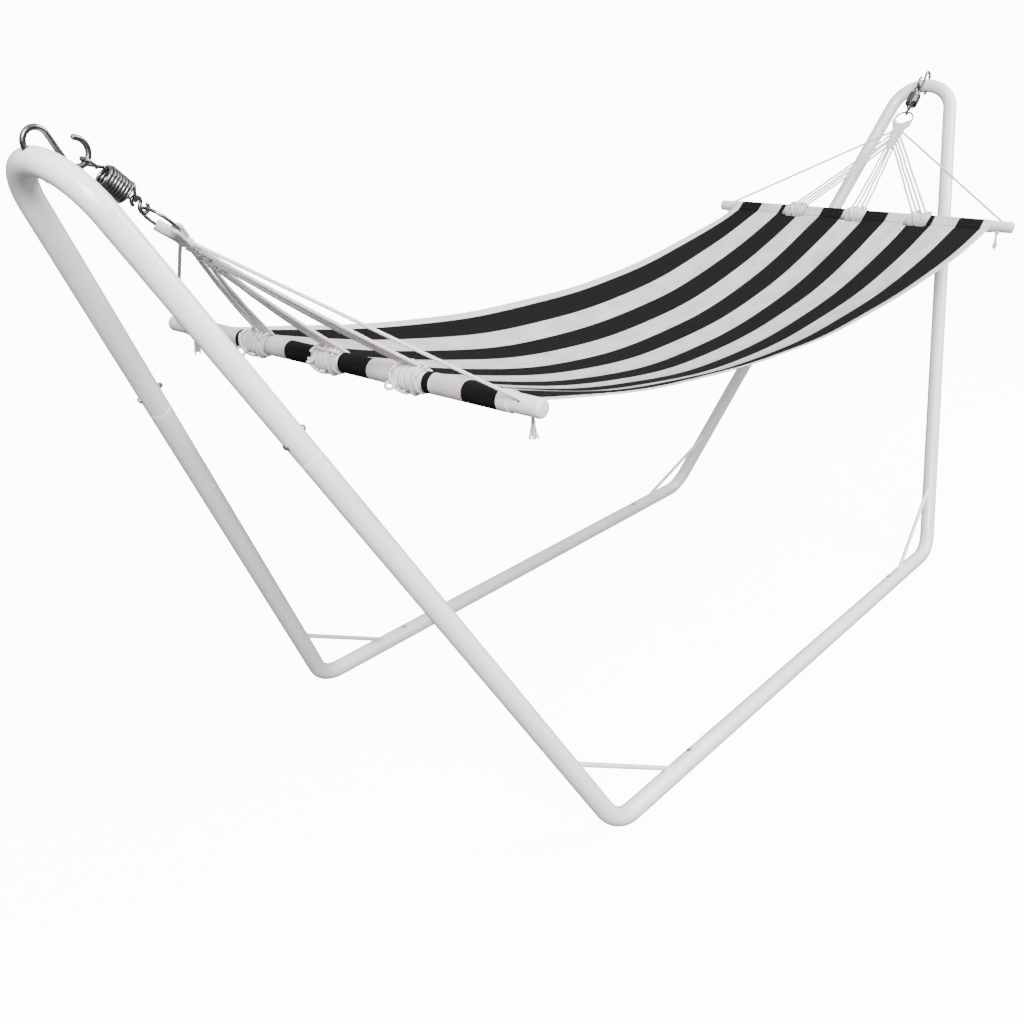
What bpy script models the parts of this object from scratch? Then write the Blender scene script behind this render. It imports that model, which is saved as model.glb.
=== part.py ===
"""A striped garden hammock hung between the two arches of a tubular steel stand.

The stand is two leaning arches, four bent corner tubes and two floor rails that
plug together.  At each crown an S-hook goes through a drilled hole and carries a
tension spring, a small S-shaped link, a ring and a fan of cords down to a wooden
spreader bar.  The fabric bed hangs between the two bars.

X runs along the hammock, Y across it (front is -Y) and Z is up.  The origin is
on the floor under the middle of the stand.  All lengths are in metres.
"""
import math

import bpy
import numpy as np

# Stand: the four corners where the axes of legs and rails meet, and the arches
TUBE_DIAMETER = 0.038
TUBE_WALL = 0.0015
BASE_LENGTH = 1.554
BASE_WIDTH = 0.846
ARCH_LEAN = math.radians(29.2)
CROWN_HEIGHT = 1.253
CROWN_BEND_RADIUS = 0.094
CORNER_BEND_RADIUS = 0.085
LEG_SEAM = 0.970
RAIL_SEAM = 0.285
SPIGOT_LENGTH = 0.070
SWAGE_LENGTH = 0.002
BRACE_DIAMETER = 0.010
BRACE_ON_LEG = 0.200
BRACE_ON_RAIL = 0.220

# Fasteners
BOLT_DIAMETER = 0.006
BOLT_HEAD_DIAMETER = 0.012
BOLT_HEAD_HEIGHT = 0.0035
BOLT_END = 0.002
NUT_WIDTH = 0.010
NUT_HEIGHT = 0.005
LEG_BOLT_FROM_SEAM = 0.036
RAIL_SCREW_FROM_SEAM = 0.020
RAIL_SCREW_LENGTH = 0.012

# Hooks, springs, links and rings
HOOK_WIRE = 0.008
HOOK_HOLE_PLAY = 0.0025
HOOK_TIP = 0.012
HOOK_SHANK_CLEARANCE = 0.011
HOOK_EYE_RADIUS = 0.018
HOOK_EYE_DROP = 0.038
HOOK_EYE_SWEEP = math.radians(250)
SPRING_WIRE = 0.0045
SPRING_DIAMETER = 0.036
SPRING_TURNS = 8.5
SPRING_TOP_LOOP_RADIUS = 0.0105
SPRING_END_LOOP_RADIUS = 0.0078
SPRING_NECK = 0.012
LINK_WIRE = 0.0055
LINK_BEND_RADIUS = 0.0068
LINK_REACH = 0.016
RING_DIAMETER = 0.060
RING_WIRE = 0.005

# Cords
CORD_DIAMETER = 0.006
CORDS_IN_BUNDLE = 4
CLEW_LENGTH = 0.090
CLEW_START_WIDTH = 0.036
CLEW_END_WIDTH = 0.025
CLEW_THICKNESS = 0.011
CORD_PITCH_AT_CLEW = 0.0064
FIRST_LEAVE_SHARE = 0.45
LEAVE_STEP_SHARE = 0.16
EDGE_LEAVE_SHARE = 0.25
CORD_PITCH_AT_BAR = 0.0135
KNOT_DIAMETER = 0.015
TAIL_LENGTH = 0.036

# Spreader bars and bed
BAR_SPACING = 2.046
BAR_HEIGHT = 0.907
BAR_LENGTH = 0.900
BAR_DIAMETER = 0.030
BAR_HOLE = 0.009
BAR_HOLE_FROM_END = 0.036
BED_FROM_BAR_END = 0.055
BED_SAG = 0.114
BED_TROUGH = 0.090
FABRIC_THICKNESS = 0.0024
SLEEVE_WALL = 0.0017
HEM_WIDTH = 0.022
NOTCH_WIDTH = 0.070
NOTCH_DEPTH = 0.028
NOTCH_SPACING = 0.190

GAP = 0.0003
WIRE_GAP = 0.0008
TUBE_SIDES = 16
ROD_SIDES = 8
WIRE_SIDES = 6

LEFT, RIGHT = -1, 1
FRONT, REAR = -1, 1
SIDE_NAMES = {LEFT: "left", RIGHT: "right"}
DEPTH_NAMES = {FRONT: "front", REAR: "rear"}

BED_WIDTH = BAR_LENGTH - 2 * BED_FROM_BAR_END
TUBE_RADIUS = TUBE_DIAMETER / 2
BORE_RADIUS = TUBE_RADIUS - TUBE_WALL
SPIGOT_RADIUS = (BORE_RADIUS - GAP) * math.cos(math.pi / TUBE_SIDES)
BOLT_HOLE_RADIUS = BOLT_DIAMETER / 2 + GAP
ALONG = np.array((1.0, 0.0, 0.0))
ACROSS = np.array((0.0, 1.0, 0.0))
UP = np.array((0.0, 0.0, 1.0))


# ---------------------------------------------------------------- materials

def make_material(name, colour, roughness, metallic=0.0):
    """One Principled material with a plain colour."""
    material = bpy.data.materials.new(name)
    material.use_nodes = True
    shader = material.node_tree.nodes["Principled BSDF"]
    shader.inputs["Base Color"].default_value = (*colour, 1.0)
    shader.inputs["Roughness"].default_value = roughness
    shader.inputs["Metallic"].default_value = metallic
    material.diffuse_color = (*colour, 1.0)
    return material


def make_materials():
    """The finishes of the object, by name."""
    return {
        "powder_coat": make_material("powder_coat", (0.80, 0.80, 0.82), 0.35),
        "bright_steel": make_material("bright_steel", (0.55, 0.55, 0.56), 0.22, 1.0),
        "zinc": make_material("zinc", (0.42, 0.42, 0.43), 0.35, 1.0),
        "cotton_cord": make_material("cotton_cord", (0.72, 0.70, 0.68), 0.95),
        "painted_wood": make_material("painted_wood", (0.80, 0.80, 0.79), 0.55),
        "striped_fabric": make_material("striped_fabric", (0.05, 0.045, 0.045), 0.95),
        "white_binding": make_material("white_binding", (0.72, 0.71, 0.70), 0.95),
    }


# ---------------------------------------------------------------- mesh tools

def unit(vector):
    """The vector at length one."""
    return vector / np.linalg.norm(vector)


def square_to(vector, direction):
    """The unit part of a vector that is square to a unit direction."""
    return unit(vector - (vector @ direction) * direction)


def rounded_path(points, radius, steps):
    """A polyline whose inner corners are replaced by arcs of one radius."""
    points = [np.asarray(point, dtype=float) for point in points]
    path = [points[0]]
    for before, corner, after in zip(points, points[1:], points[2:]):
        arriving = unit(corner - before)
        leaving = unit(after - corner)
        turn = math.acos(float(arriving @ leaving))
        start = corner - arriving * radius * math.tan(turn / 2)
        inward = square_to(leaving, arriving)
        centre = start + radius * inward
        for angle in np.linspace(0.0, turn, steps + 1):
            path.append(centre - radius * math.cos(angle) * inward + radius * math.sin(angle) * arriving)
    path.append(points[-1])
    return np.array(path)


def arc(centre, first_axis, second_axis, radius, start, end, steps):
    """Points on an arc, by angle from the first axis towards the second."""
    angles = np.linspace(start, end, steps + 1)[:, None]
    return centre + radius * (np.cos(angles) * first_axis + np.sin(angles) * second_axis)


def carried_frames(path, across, closed=False):
    """Two unit vectors square to the path at each point, carried along without twist."""
    if closed:
        tangents = np.roll(path, -1, axis=0) - np.roll(path, 1, axis=0)
    else:
        steps = np.diff(path, axis=0)
        lengths = np.linalg.norm(steps, axis=1)
        for index in range(1, len(steps)):
            if lengths[index] == 0.0:
                steps[index] = steps[index - 1]
        steps /= np.linalg.norm(steps, axis=1)[:, None]
        tangents = np.vstack((steps[:1], steps[:-1] + steps[1:], steps[-1:]))
    tangents /= np.linalg.norm(tangents, axis=1)[:, None]
    first = np.empty_like(path)
    first[0] = square_to(np.asarray(across, dtype=float), tangents[0])
    for index in range(1, len(path)):
        first[index] = square_to(first[index - 1], tangents[index])
    return first, np.cross(tangents, first)


def rings_along(path, across, radii, sides, turn=0.0, outline=None, closed=False):
    """Rings of points round a path: one ring for each path point."""
    path = np.asarray(path, dtype=float)
    first, second = carried_frames(path, across, closed)
    angles = turn + np.arange(sides) * 2 * math.pi / sides
    reach = np.ones(sides) if outline is None else np.asarray(outline)
    spokes = (reach * np.cos(angles))[None, :, None] * first[:, None, :]
    spokes = spokes + (reach * np.sin(angles))[None, :, None] * second[:, None, :]
    size = np.broadcast_to(radii, len(path))[:, None, None]
    return path[:, None, :] + size * spokes


def skin_faces(ring_count, sides, offset=0, closed=False):
    """Quads between neighbouring rings, facing away from the path."""
    faces = []
    for ring in range(ring_count if closed else ring_count - 1):
        here = offset + ring * sides
        there = offset + ((ring + 1) % ring_count) * sides
        for side in range(sides):
            following = (side + 1) % sides
            faces.append((here + side, here + following, there + following, there + side))
    return faces


def add_object(name, vertices, faces, material):
    """A mesh object in the scene, shaded smooth with its sharp edges kept."""
    mesh = bpy.data.meshes.new(name)
    mesh.from_pydata([tuple(vertex) for vertex in vertices], [], faces)
    mesh.shade_smooth()
    mesh.set_sharp_from_angle(angle=math.radians(40))
    if material:
        mesh.materials.append(material)
    item = bpy.data.objects.new(name, mesh)
    bpy.context.scene.collection.objects.link(item)
    return item


def add_solid(name, rings, material=None):
    """A closed solid through rings of points, capped at both ends."""
    count, sides = rings.shape[:2]
    faces = skin_faces(count, sides)
    faces.append(tuple(reversed(range(sides))))
    faces.append(tuple((count - 1) * sides + side for side in range(sides)))
    return add_object(name, rings.reshape(-1, 3), faces, material)


def add_rod(name, path, across, radii, sides, material=None, **options):
    """A solid bar along a path, round unless an outline is given."""
    return add_solid(name, rings_along(path, across, radii, sides, **options), material)


def add_pipe(name, path, across, outer, inner, sides, material=None, turn=0.0, outline=None):
    """A hollow tube along a path, open at both ends."""
    outside = rings_along(path, across, outer, sides, turn, outline)
    inside = rings_along(path, across, inner, sides, turn)
    count = len(outside)
    shift = count * sides
    faces = skin_faces(count, sides)
    faces += [tuple(reversed(face)) for face in skin_faces(count, sides, shift)]
    last = (count - 1) * sides
    for side in range(sides):
        following = (side + 1) % sides
        faces.append((following, side, shift + side, shift + following))
        end = last + side
        end_following = last + following
        faces.append((end, end_following, shift + end_following, shift + end))
    vertices = np.vstack((outside.reshape(-1, 3), inside.reshape(-1, 3)))
    return add_object(name, vertices, faces, material)


def add_torus(name, centre, first_axis, second_axis, radius, wire_radius, material):
    """A closed ring of round wire."""
    path = arc(centre, first_axis, second_axis, radius, 0.0, 2 * math.pi, 20)[:-1]
    across = np.cross(first_axis, second_axis)
    rings = rings_along(path, across, wire_radius, ROD_SIDES, closed=True)
    faces = skin_faces(len(rings), ROD_SIDES, closed=True)
    return add_object(name, rings.reshape(-1, 3), faces, material)


def hide_helper(item):
    """Mark an object as a helper that is not part of the model."""
    item.hide_render = True
    item.display_type = "WIRE"


def combine(item, helper, operation):
    """Cut a helper from an object, or join it on."""
    hide_helper(helper)
    modifier = item.modifiers.new(operation.lower(), "BOOLEAN")
    modifier.object = helper
    modifier.operation = operation
    modifier.solver = "EXACT"


def drill(item, centre, direction, length, radius):
    """Drill a round hole, centred on a point, through an object."""
    ends = [centre - direction * length / 2, centre + direction * length / 2]
    side = ACROSS if abs(direction @ ACROSS) < 0.9 else UP
    cutter = add_rod(item.name + "_drill", ends, side, radius, ROD_SIDES)
    combine(item, cutter, "DIFFERENCE")


def circumscribed(radius, sides=TUBE_SIDES):
    """Corner radius of a polygon whose flats lie at the given radius."""
    return radius / math.cos(math.pi / sides)


def turn_facing(tangent, across, facing, sides=TUBE_SIDES):
    """Turn that puts one flat of a tube square to a direction."""
    first = square_to(across, tangent)
    second = np.cross(tangent, first)
    return math.atan2(facing @ second, facing @ first) + math.pi / sides


# ---------------------------------------------------------------- layout

ARCH_RISE = (CROWN_HEIGHT - TUBE_RADIUS) / math.cos(ARCH_LEAN)


def leg_slant():
    """Angle between a leg and the arch's middle line, for legs tangent to the crown bend."""
    half = BASE_WIDTH / 2
    rise = ARCH_RISE - CROWN_BEND_RADIUS
    return math.acos(CROWN_BEND_RADIUS / math.hypot(half, rise)) - math.atan2(rise, half)


LEG_SLANT = leg_slant()


def arch_up(side):
    """Unit vector up an arch's middle line."""
    return np.array((side * math.sin(ARCH_LEAN), 0.0, math.cos(ARCH_LEAN)))


def arch_inward(side):
    """Unit vector square to an arch's plane, towards the hammock."""
    return np.array((-side * math.cos(ARCH_LEAN), 0.0, math.sin(ARCH_LEAN)))


def corner_point(side, depth):
    """Where the axes of a leg and a rail meet."""
    return np.array((side * BASE_LENGTH / 2, depth * BASE_WIDTH / 2, TUBE_RADIUS))


def leg_direction(side, depth):
    """Unit vector up a leg."""
    return math.cos(LEG_SLANT) * arch_up(side) - math.sin(LEG_SLANT) * depth * ACROSS


def crown_centre(side):
    """The middle of the tube at the top of an arch."""
    return np.array((side * BASE_LENGTH / 2, 0.0, TUBE_RADIUS)) + ARCH_RISE * arch_up(side)


def hook_shank_offset():
    """Distance between an S-hook's leg through the tube and its shank."""
    return TUBE_RADIUS + HOOK_WIRE / 2 + HOOK_SHANK_CLEARANCE


def hook_eye_centre(side):
    """Centre of an S-hook's lower bend."""
    drop = hook_shank_offset() / 2 - HOOK_EYE_DROP
    reach = hook_shank_offset() + HOOK_EYE_RADIUS
    return crown_centre(side) + drop * arch_up(side) + reach * arch_inward(side)


def bar_centre(side):
    """The middle of a spreader bar."""
    return np.array((side * BAR_SPACING / 2, 0.0, BAR_HEIGHT))


def pull(side):
    """Unit vector from a hook down to the spreader bar, along spring and cords."""
    return unit(bar_centre(side) - hook_eye_centre(side))


def lift(side):
    """Unit vector square to the pull in the vertical plane, pointing up."""
    return square_to(UP, pull(side))


def station(side, distance, across=0.0, above=0.0):
    """A point by its distance from the hook along the pull, with offsets."""
    start = hook_eye_centre(side) + HOOK_EYE_RADIUS * pull(side)
    return start + distance * pull(side) + across * ACROSS + above * lift(side)


TOUCH = (SPRING_WIRE + LINK_WIRE) / 2 + WIRE_GAP
TOP_LOOP = SPRING_TOP_LOOP_RADIUS - (HOOK_WIRE + SPRING_WIRE) / 2 - WIRE_GAP
BARREL_START = TOP_LOOP + SPRING_TOP_LOOP_RADIUS + SPRING_NECK
BARREL_LENGTH = SPRING_TURNS * (SPRING_WIRE + GAP)
END_LOOP = BARREL_START + BARREL_LENGTH + SPRING_END_LOOP_RADIUS
LINK_TOP = END_LOOP + SPRING_END_LOOP_RADIUS - TOUCH
RING_CENTRE = LINK_TOP + TOUCH + LINK_REACH + (RING_DIAMETER - RING_WIRE) / 2
CLEW_START = RING_CENTRE + RING_DIAMETER / 2 + GAP
CLEW_END = CLEW_START + CLEW_LENGTH
SLEEVE_RADIUS = BAR_DIAMETER / 2 + GAP + SLEEVE_WALL
WRAP_RADIUS = BAR_DIAMETER / 2 + GAP + CORD_DIAMETER
BED_HALF_SPAN = BAR_SPACING / 2 - (BAR_DIAMETER / 2 + GAP + SLEEVE_WALL / 2)


# ---------------------------------------------------------------- stand

def make_arch(side, material):
    """The upper arch of one end, a bent tube with holes for the hook and the leg bolts."""
    feet = [corner_point(side, depth) + (LEG_SEAM + GAP) * leg_direction(side, depth)
            for depth in (FRONT, REAR)]
    apex = corner_point(side, 0) + BASE_WIDTH / 2 / math.tan(LEG_SLANT) * arch_up(side)
    path = rounded_path([feet[0], apex, feet[1]], CROWN_BEND_RADIUS, 10)
    item = add_pipe("arch_" + SIDE_NAMES[side], path, arch_inward(side),
                    circumscribed(TUBE_RADIUS), circumscribed(BORE_RADIUS), TUBE_SIDES, material)
    drill(item, crown_centre(side), arch_up(side), 2 * TUBE_DIAMETER, (HOOK_WIRE + HOOK_HOLE_PLAY) / 2)
    for depth in (FRONT, REAR):
        drill(item, leg_bolt_centre(side, depth), leg_bolt_direction(side, depth),
              2 * TUBE_DIAMETER, BOLT_HOLE_RADIUS)
    return item


def corner_path(side, depth):
    """Axis of a corner tube, from the leg's spigot down round the bend to the rail."""
    corner = corner_point(side, depth)
    top = corner + (LEG_SEAM + SPIGOT_LENGTH) * leg_direction(side, depth)
    end = corner - side * RAIL_SEAM * ALONG
    return rounded_path([top, corner, end], CORNER_BEND_RADIUS, 6)


def corner_normal(side, depth):
    """Unit vector square to the plane of a corner tube."""
    return unit(np.cross(leg_direction(side, depth), ALONG))


def make_corner(side, depth, material):
    """A bent corner tube: leg with a swaged spigot, floor bend and rail socket."""
    path = corner_path(side, depth)
    down = -leg_direction(side, depth)
    shoulder = path[0] + SPIGOT_LENGTH * down
    path = np.vstack((path[:1], [shoulder, shoulder + SWAGE_LENGTH * down], path[1:]))
    outer = np.full(len(path), circumscribed(TUBE_RADIUS))
    outer[:2] = circumscribed(SPIGOT_RADIUS)
    inner = outer - TUBE_WALL
    normal = corner_normal(side, depth)
    turn = turn_facing(-side * ALONG, normal, -UP)
    name = "corner_tube_" + DEPTH_NAMES[depth] + "_" + SIDE_NAMES[side]
    item = add_pipe(name, path, normal, outer, inner, TUBE_SIDES, material, turn)
    drill(item, leg_bolt_centre(side, depth), leg_bolt_direction(side, depth),
          2 * TUBE_DIAMETER, BOLT_HOLE_RADIUS)
    screw = rail_screw_direction(side, depth)
    drill(item, rail_screw_centre(side, depth) + TUBE_RADIUS * screw, screw,
          TUBE_RADIUS, BOLT_HOLE_RADIUS)
    return item


def make_brace(side, depth, material):
    """A round bar welded across the inside of a corner, coped to both tubes."""
    corner = corner_point(side, depth)
    ends = np.array((corner + BRACE_ON_LEG * leg_direction(side, depth),
                     corner - side * BRACE_ON_RAIL * ALONG))
    place = DEPTH_NAMES[depth] + "_" + SIDE_NAMES[side]
    item = add_rod("brace_" + place, ends, corner_normal(side, depth),
                   circumscribed(BRACE_DIAMETER / 2, ROD_SIDES), ROD_SIDES, material)
    normal = corner_normal(side, depth)
    cope = add_rod("brace_cope_" + place, corner_path(side, depth), normal,
                   circumscribed(TUBE_RADIUS + GAP), TUBE_SIDES,
                   turn=turn_facing(-side * ALONG, normal, -UP))
    combine(item, cope, "DIFFERENCE")
    return item


def make_rail(depth, material):
    """A floor rail whose swaged ends plug into the corner tubes."""
    seam = BASE_LENGTH / 2 - RAIL_SEAM - GAP
    stops = [-seam - SPIGOT_LENGTH, -seam, -seam + SWAGE_LENGTH,
             seam - SWAGE_LENGTH, seam, seam + SPIGOT_LENGTH]
    path = [np.array((x, depth * BASE_WIDTH / 2, TUBE_RADIUS)) for x in stops]
    outer = np.full(len(path), circumscribed(TUBE_RADIUS))
    outer[[0, 1, -2, -1]] = circumscribed(SPIGOT_RADIUS)
    item = add_pipe("rail_" + DEPTH_NAMES[depth], np.array(path), UP, outer,
                    outer - TUBE_WALL, TUBE_SIDES, material, math.pi / TUBE_SIDES)
    for side in (LEFT, RIGHT):
        screw = rail_screw_direction(side, depth)
        drill(item, rail_screw_centre(side, depth) + TUBE_RADIUS * screw, screw,
              TUBE_RADIUS, BOLT_HOLE_RADIUS)
    return item


# ---------------------------------------------------------------- fasteners

def leg_bolt_centre(side, depth):
    """Where a leg bolt crosses the axis of its leg."""
    distance = LEG_SEAM + LEG_BOLT_FROM_SEAM
    return corner_point(side, depth) + distance * leg_direction(side, depth)


def leg_bolt_direction(side, depth):
    """Unit vector along a leg bolt, towards its nut on the inner side."""
    return square_to(-side * ALONG, leg_direction(side, depth))


def rail_screw_centre(side, depth):
    """Where a rail screw points at the axis of its rail."""
    distance = RAIL_SEAM - RAIL_SCREW_FROM_SEAM
    return corner_point(side, depth) - side * distance * ALONG


def rail_screw_direction(side, depth):
    """Unit vector out of the rail towards the screw's head, in the corner's plane."""
    return square_to(leg_direction(side, depth), ALONG)


def make_bolt(name, seat, direction, length, across, material):
    """A round-headed bolt whose head rests at a seat, with its shank against the direction."""
    half_head = BOLT_HEAD_HEIGHT / 2
    stops = [-length, -length + BOLT_DIAMETER / 8, 0.0, 0.0, half_head, BOLT_HEAD_HEIGHT]
    shank = BOLT_DIAMETER / 2
    head = BOLT_HEAD_DIAMETER / 2
    radii = np.array([0.7 * shank, shank, shank, head, 0.9 * head, 0.5 * head])
    path = np.array([seat + stop * direction for stop in stops])
    return add_rod(name, path, across, radii, 10, material)


def make_nut(name, seat, direction, across, material):
    """A plain hexagon nut that rests at a seat."""
    corner = NUT_WIDTH / 2 / math.cos(math.pi / 6)
    outline = [1.0 if side % 2 == 0 else math.cos(math.pi / 6) for side in range(12)]
    path = np.array([seat, seat + NUT_HEIGHT * direction])
    return add_pipe(name, path, across, corner, circumscribed(BOLT_HOLE_RADIUS, 12), 12, material,
                    outline=outline)


def make_fasteners(side, depth, material):
    """The leg bolt with its nut, and the rail screw, of one corner."""
    place = DEPTH_NAMES[depth] + "_" + SIDE_NAMES[side]
    seat = circumscribed(TUBE_RADIUS) + GAP
    leg = leg_direction(side, depth)
    inner = leg_bolt_direction(side, depth)
    centre = leg_bolt_centre(side, depth)
    length = 2 * seat + NUT_HEIGHT + BOLT_END
    bolt = make_bolt("leg_bolt_" + place, centre - seat * inner, -inner, length, leg, material)
    nut = make_nut("leg_nut_" + place, centre + seat * inner, inner, leg, material)
    outward = rail_screw_direction(side, depth)
    screw = make_bolt("rail_screw_" + place, rail_screw_centre(side, depth) + seat * outward,
                      outward, RAIL_SCREW_LENGTH, ALONG, material)
    return [bolt, nut, screw]


# ---------------------------------------------------------------- hardware

def make_s_hook(side, material):
    """The S-hook: a leg through the crown, a bend over the tube, a shank and an open eye."""
    up = arch_up(side)
    inward = arch_inward(side)
    centre = crown_centre(side)
    bend = hook_shank_offset() / 2
    tip = centre - (TUBE_RADIUS + HOOK_TIP) * up
    over = arc(centre + bend * (up + inward), inward, up, bend, math.pi, 0.0, 10)
    eye = arc(hook_eye_centre(side), inward, up, HOOK_EYE_RADIUS, math.pi, math.pi + HOOK_EYE_SWEEP, 14)
    path = np.vstack((tip, over, eye))
    return add_rod("s_hook_" + SIDE_NAMES[side], path, ACROSS,
                   circumscribed(HOOK_WIRE / 2, ROD_SIDES), ROD_SIDES, material)


def spring_path(side):
    """Wire of a spring: an end loop, the closed coils that widen from it, and an end loop."""
    along = pull(side)
    above = lift(side)
    coil = (SPRING_DIAMETER - SPRING_WIRE) / 2
    top = arc(station(side, TOP_LOOP), ACROSS, along, SPRING_TOP_LOOP_RADIUS,
              math.radians(-250), math.radians(20), 9)
    turns = np.linspace(0.0, SPRING_TURNS, int(SPRING_TURNS * 8) + 1)
    widening = np.clip((turns + 0.5) / 1.5, 0.0, 1.0)
    radius = SPRING_TOP_LOOP_RADIUS + (coil - SPRING_TOP_LOOP_RADIUS) * widening
    angle = turns * 2 * math.pi
    distance = BARREL_START + turns * (SPRING_WIRE + GAP)
    helix = station(side, 0.0) + distance[:, None] * along
    helix = helix + (radius * np.cos(angle))[:, None] * ACROSS
    helix = helix + (radius * np.sin(angle))[:, None] * above
    end = arc(station(side, END_LOOP), -ACROSS, along, SPRING_END_LOOP_RADIUS,
              0.0, math.radians(250), 8)
    return np.vstack((top, helix, end))


def make_spring(side, material):
    """The tension spring of one end."""
    return add_rod("spring_" + SIDE_NAMES[side], spring_path(side), lift(side),
                   SPRING_WIRE / 2, WIRE_SIDES, material)


def make_link(side, material):
    """A small S-shaped link between the spring's end loop and the ring."""
    along = pull(side)
    above = lift(side)
    upper = station(side, LINK_TOP + LINK_BEND_RADIUS)
    ring_wire = LINK_TOP + TOUCH + LINK_REACH
    bottom = ring_wire + (RING_WIRE + LINK_WIRE) / 2 + WIRE_GAP
    lower = station(side, bottom - LINK_BEND_RADIUS)
    closeness = 2 * LINK_BEND_RADIUS / (bottom - LINK_TOP - 2 * LINK_BEND_RADIUS)
    crossing = math.acos(min(closeness, 1.0)) - math.pi / 2
    over = arc(upper, above, -along, LINK_BEND_RADIUS, math.radians(190), crossing, 12)
    under = arc(lower, -above, along, LINK_BEND_RADIUS, crossing, math.radians(190), 12)
    return add_rod("link_hook_" + SIDE_NAMES[side], np.vstack((over, under)), ACROSS,
                   LINK_WIRE / 2, WIRE_SIDES, material)


def make_ring(side, material):
    """The steel ring that gathers the cords."""
    return add_torus("ring_" + SIDE_NAMES[side], station(side, RING_CENTRE), ACROSS, pull(side),
                     (RING_DIAMETER - RING_WIRE) / 2, RING_WIRE / 2, material)


# ---------------------------------------------------------------- cords

def clew_half_width(distance):
    """Half the width of the woven cords at a distance from the hook."""
    share = (distance - CLEW_START) / CLEW_LENGTH
    return (CLEW_START_WIDTH + (CLEW_END_WIDTH - CLEW_START_WIDTH) * share) / 2


def make_clew(side, material):
    """The woven wedge of cords just below the ring, narrowing as the outer cords leave it."""
    angles = np.linspace(0.0, 2 * math.pi, 12, endpoint=False)
    rings = []
    for stop in np.linspace(CLEW_START, CLEW_END, 4):
        half = clew_half_width(stop)
        rings.append([station(side, stop, -side * half * math.cos(angle),
                              CLEW_THICKNESS / 2 * math.sin(angle)) for angle in angles])
    return add_solid("clew_" + SIDE_NAMES[side], np.array(rings), material)


def leave_point(side, share, depth):
    """Where a cord leaves the edge of the clew, by its share of the clew's length."""
    distance = CLEW_START + CLEW_LENGTH * share
    return station(side, distance, depth * (clew_half_width(distance) + CORD_DIAMETER / 2 + GAP))


def strand_start(side, place, order):
    """Start of a bundle's cord: the outer bundles leave the clew's edges one cord at a time."""
    if place == 0:
        return station(side, CLEW_END + CORD_DIAMETER / 2, order * CORD_PITCH_AT_CLEW)
    depth = math.copysign(1.0, place)
    rank = (CORDS_IN_BUNDLE - 1) / 2 - depth * order
    return leave_point(side, FIRST_LEAVE_SHARE + LEAVE_STEP_SHARE * rank, depth)


def make_bundle(side, place, name, material):
    """Four cords from the clew to a wrapped hitch round the bar in a sleeve notch."""
    half = NOTCH_WIDTH / 2 - 2 * CORD_DIAMETER / 2
    bar = bar_centre(side) + place * ACROSS
    wrap = add_pipe(name, np.array([bar - half * ACROSS, bar + half * ACROSS]), UP,
                    circumscribed(WRAP_RADIUS), circumscribed(BAR_DIAMETER / 2 + GAP),
                    TUBE_SIDES, material)
    wrap_distance = (bar_centre(side) - station(side, 0.0)) @ pull(side) - WRAP_RADIUS + CORD_DIAMETER / 2
    for index in range(CORDS_IN_BUNDLE):
        order = index - (CORDS_IN_BUNDLE - 1) / 2
        start = strand_start(side, place, order)
        end = station(side, wrap_distance, place + order * CORD_PITCH_AT_BAR)
        cord = add_rod(name + "_strand", [start, end], lift(side), CORD_DIAMETER / 2, WIRE_SIDES)
        combine(wrap, cord, "UNION")
    return wrap


def make_edge_cord(side, depth, material):
    """An outer cord from the clew through the hole near the bar's end, knotted with a short tail."""
    hole = depth * (BAR_LENGTH / 2 - BAR_HOLE_FROM_END)
    bar = (bar_centre(side) - station(side, 0.0)) @ pull(side)
    reach = BAR_DIAMETER / 2
    start = leave_point(side, EDGE_LEAVE_SHARE, depth)
    entry = station(side, bar - reach - CORD_DIAMETER, hole)
    leave = station(side, bar + reach + GAP, hole)
    knot = station(side, bar + reach + KNOT_DIAMETER / 2 + GAP, hole)
    below = knot + KNOT_DIAMETER / 2 * (pull(side) - UP) * 0.7
    tail = below - TAIL_LENGTH * UP
    path = [start, entry, leave, leave, knot, below, tail]
    cord = CORD_DIAMETER / 2
    radii = np.array([cord, cord, cord, 1.2 * cord, KNOT_DIAMETER / 2, cord, 1.4 * cord])
    name = "edge_cord_" + DEPTH_NAMES[depth] + "_" + SIDE_NAMES[side]
    return add_rod(name, np.array(path), lift(side), radii, ROD_SIDES, material)


# ---------------------------------------------------------------- bars and bed

def make_bar(side, material):
    """A round wooden spreader bar with softened ends and a cord hole near each end."""
    half = BAR_LENGTH / 2
    radius = circumscribed(BAR_DIAMETER / 2)
    soft = 0.005
    stops = [-half, -half + soft / 3, -half + soft, half - soft, half - soft / 3, half]
    shares = np.array([0.72, 0.92, 1.0, 1.0, 0.92, 0.72])
    path = np.array([bar_centre(side) + stop * ACROSS for stop in stops])
    item = add_rod("spreader_bar_" + SIDE_NAMES[side], path, UP, radius * shares, TUBE_SIDES, material)
    for depth in (FRONT, REAR):
        hole = bar_centre(side) + depth * (half - BAR_HOLE_FROM_END) * ACROSS
        drill(item, hole, pull(side), 2 * BAR_DIAMETER, BAR_HOLE / 2)
    return item


def bed_point(x, across, offset=0.0):
    """A point of the bed, by length and by distance across the flat cloth: both sag as parabolas."""
    slack = 1.0 - (x / BED_HALF_SPAN) ** 2
    trough = BED_TROUGH * slack
    half = BED_WIDTH / 2
    gather = 1.0 - 2.0 / 3.0 * (trough / half) ** 2
    height = BAR_HEIGHT - BED_SAG * slack - trough * (1.0 - (across / half) ** 2)
    return (x, gather * across, height + offset)


def add_cloth(name, stops, lines, material=None):
    """A thin slab that follows the bed's sag, between lines along the cloth."""
    half = FABRIC_THICKNESS / 2
    rings = [[bed_point(x, line, -half) for line in lines]
             + [bed_point(x, line, half) for line in reversed(lines)] for x in stops]
    return add_solid(name, np.array(rings), material)


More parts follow.
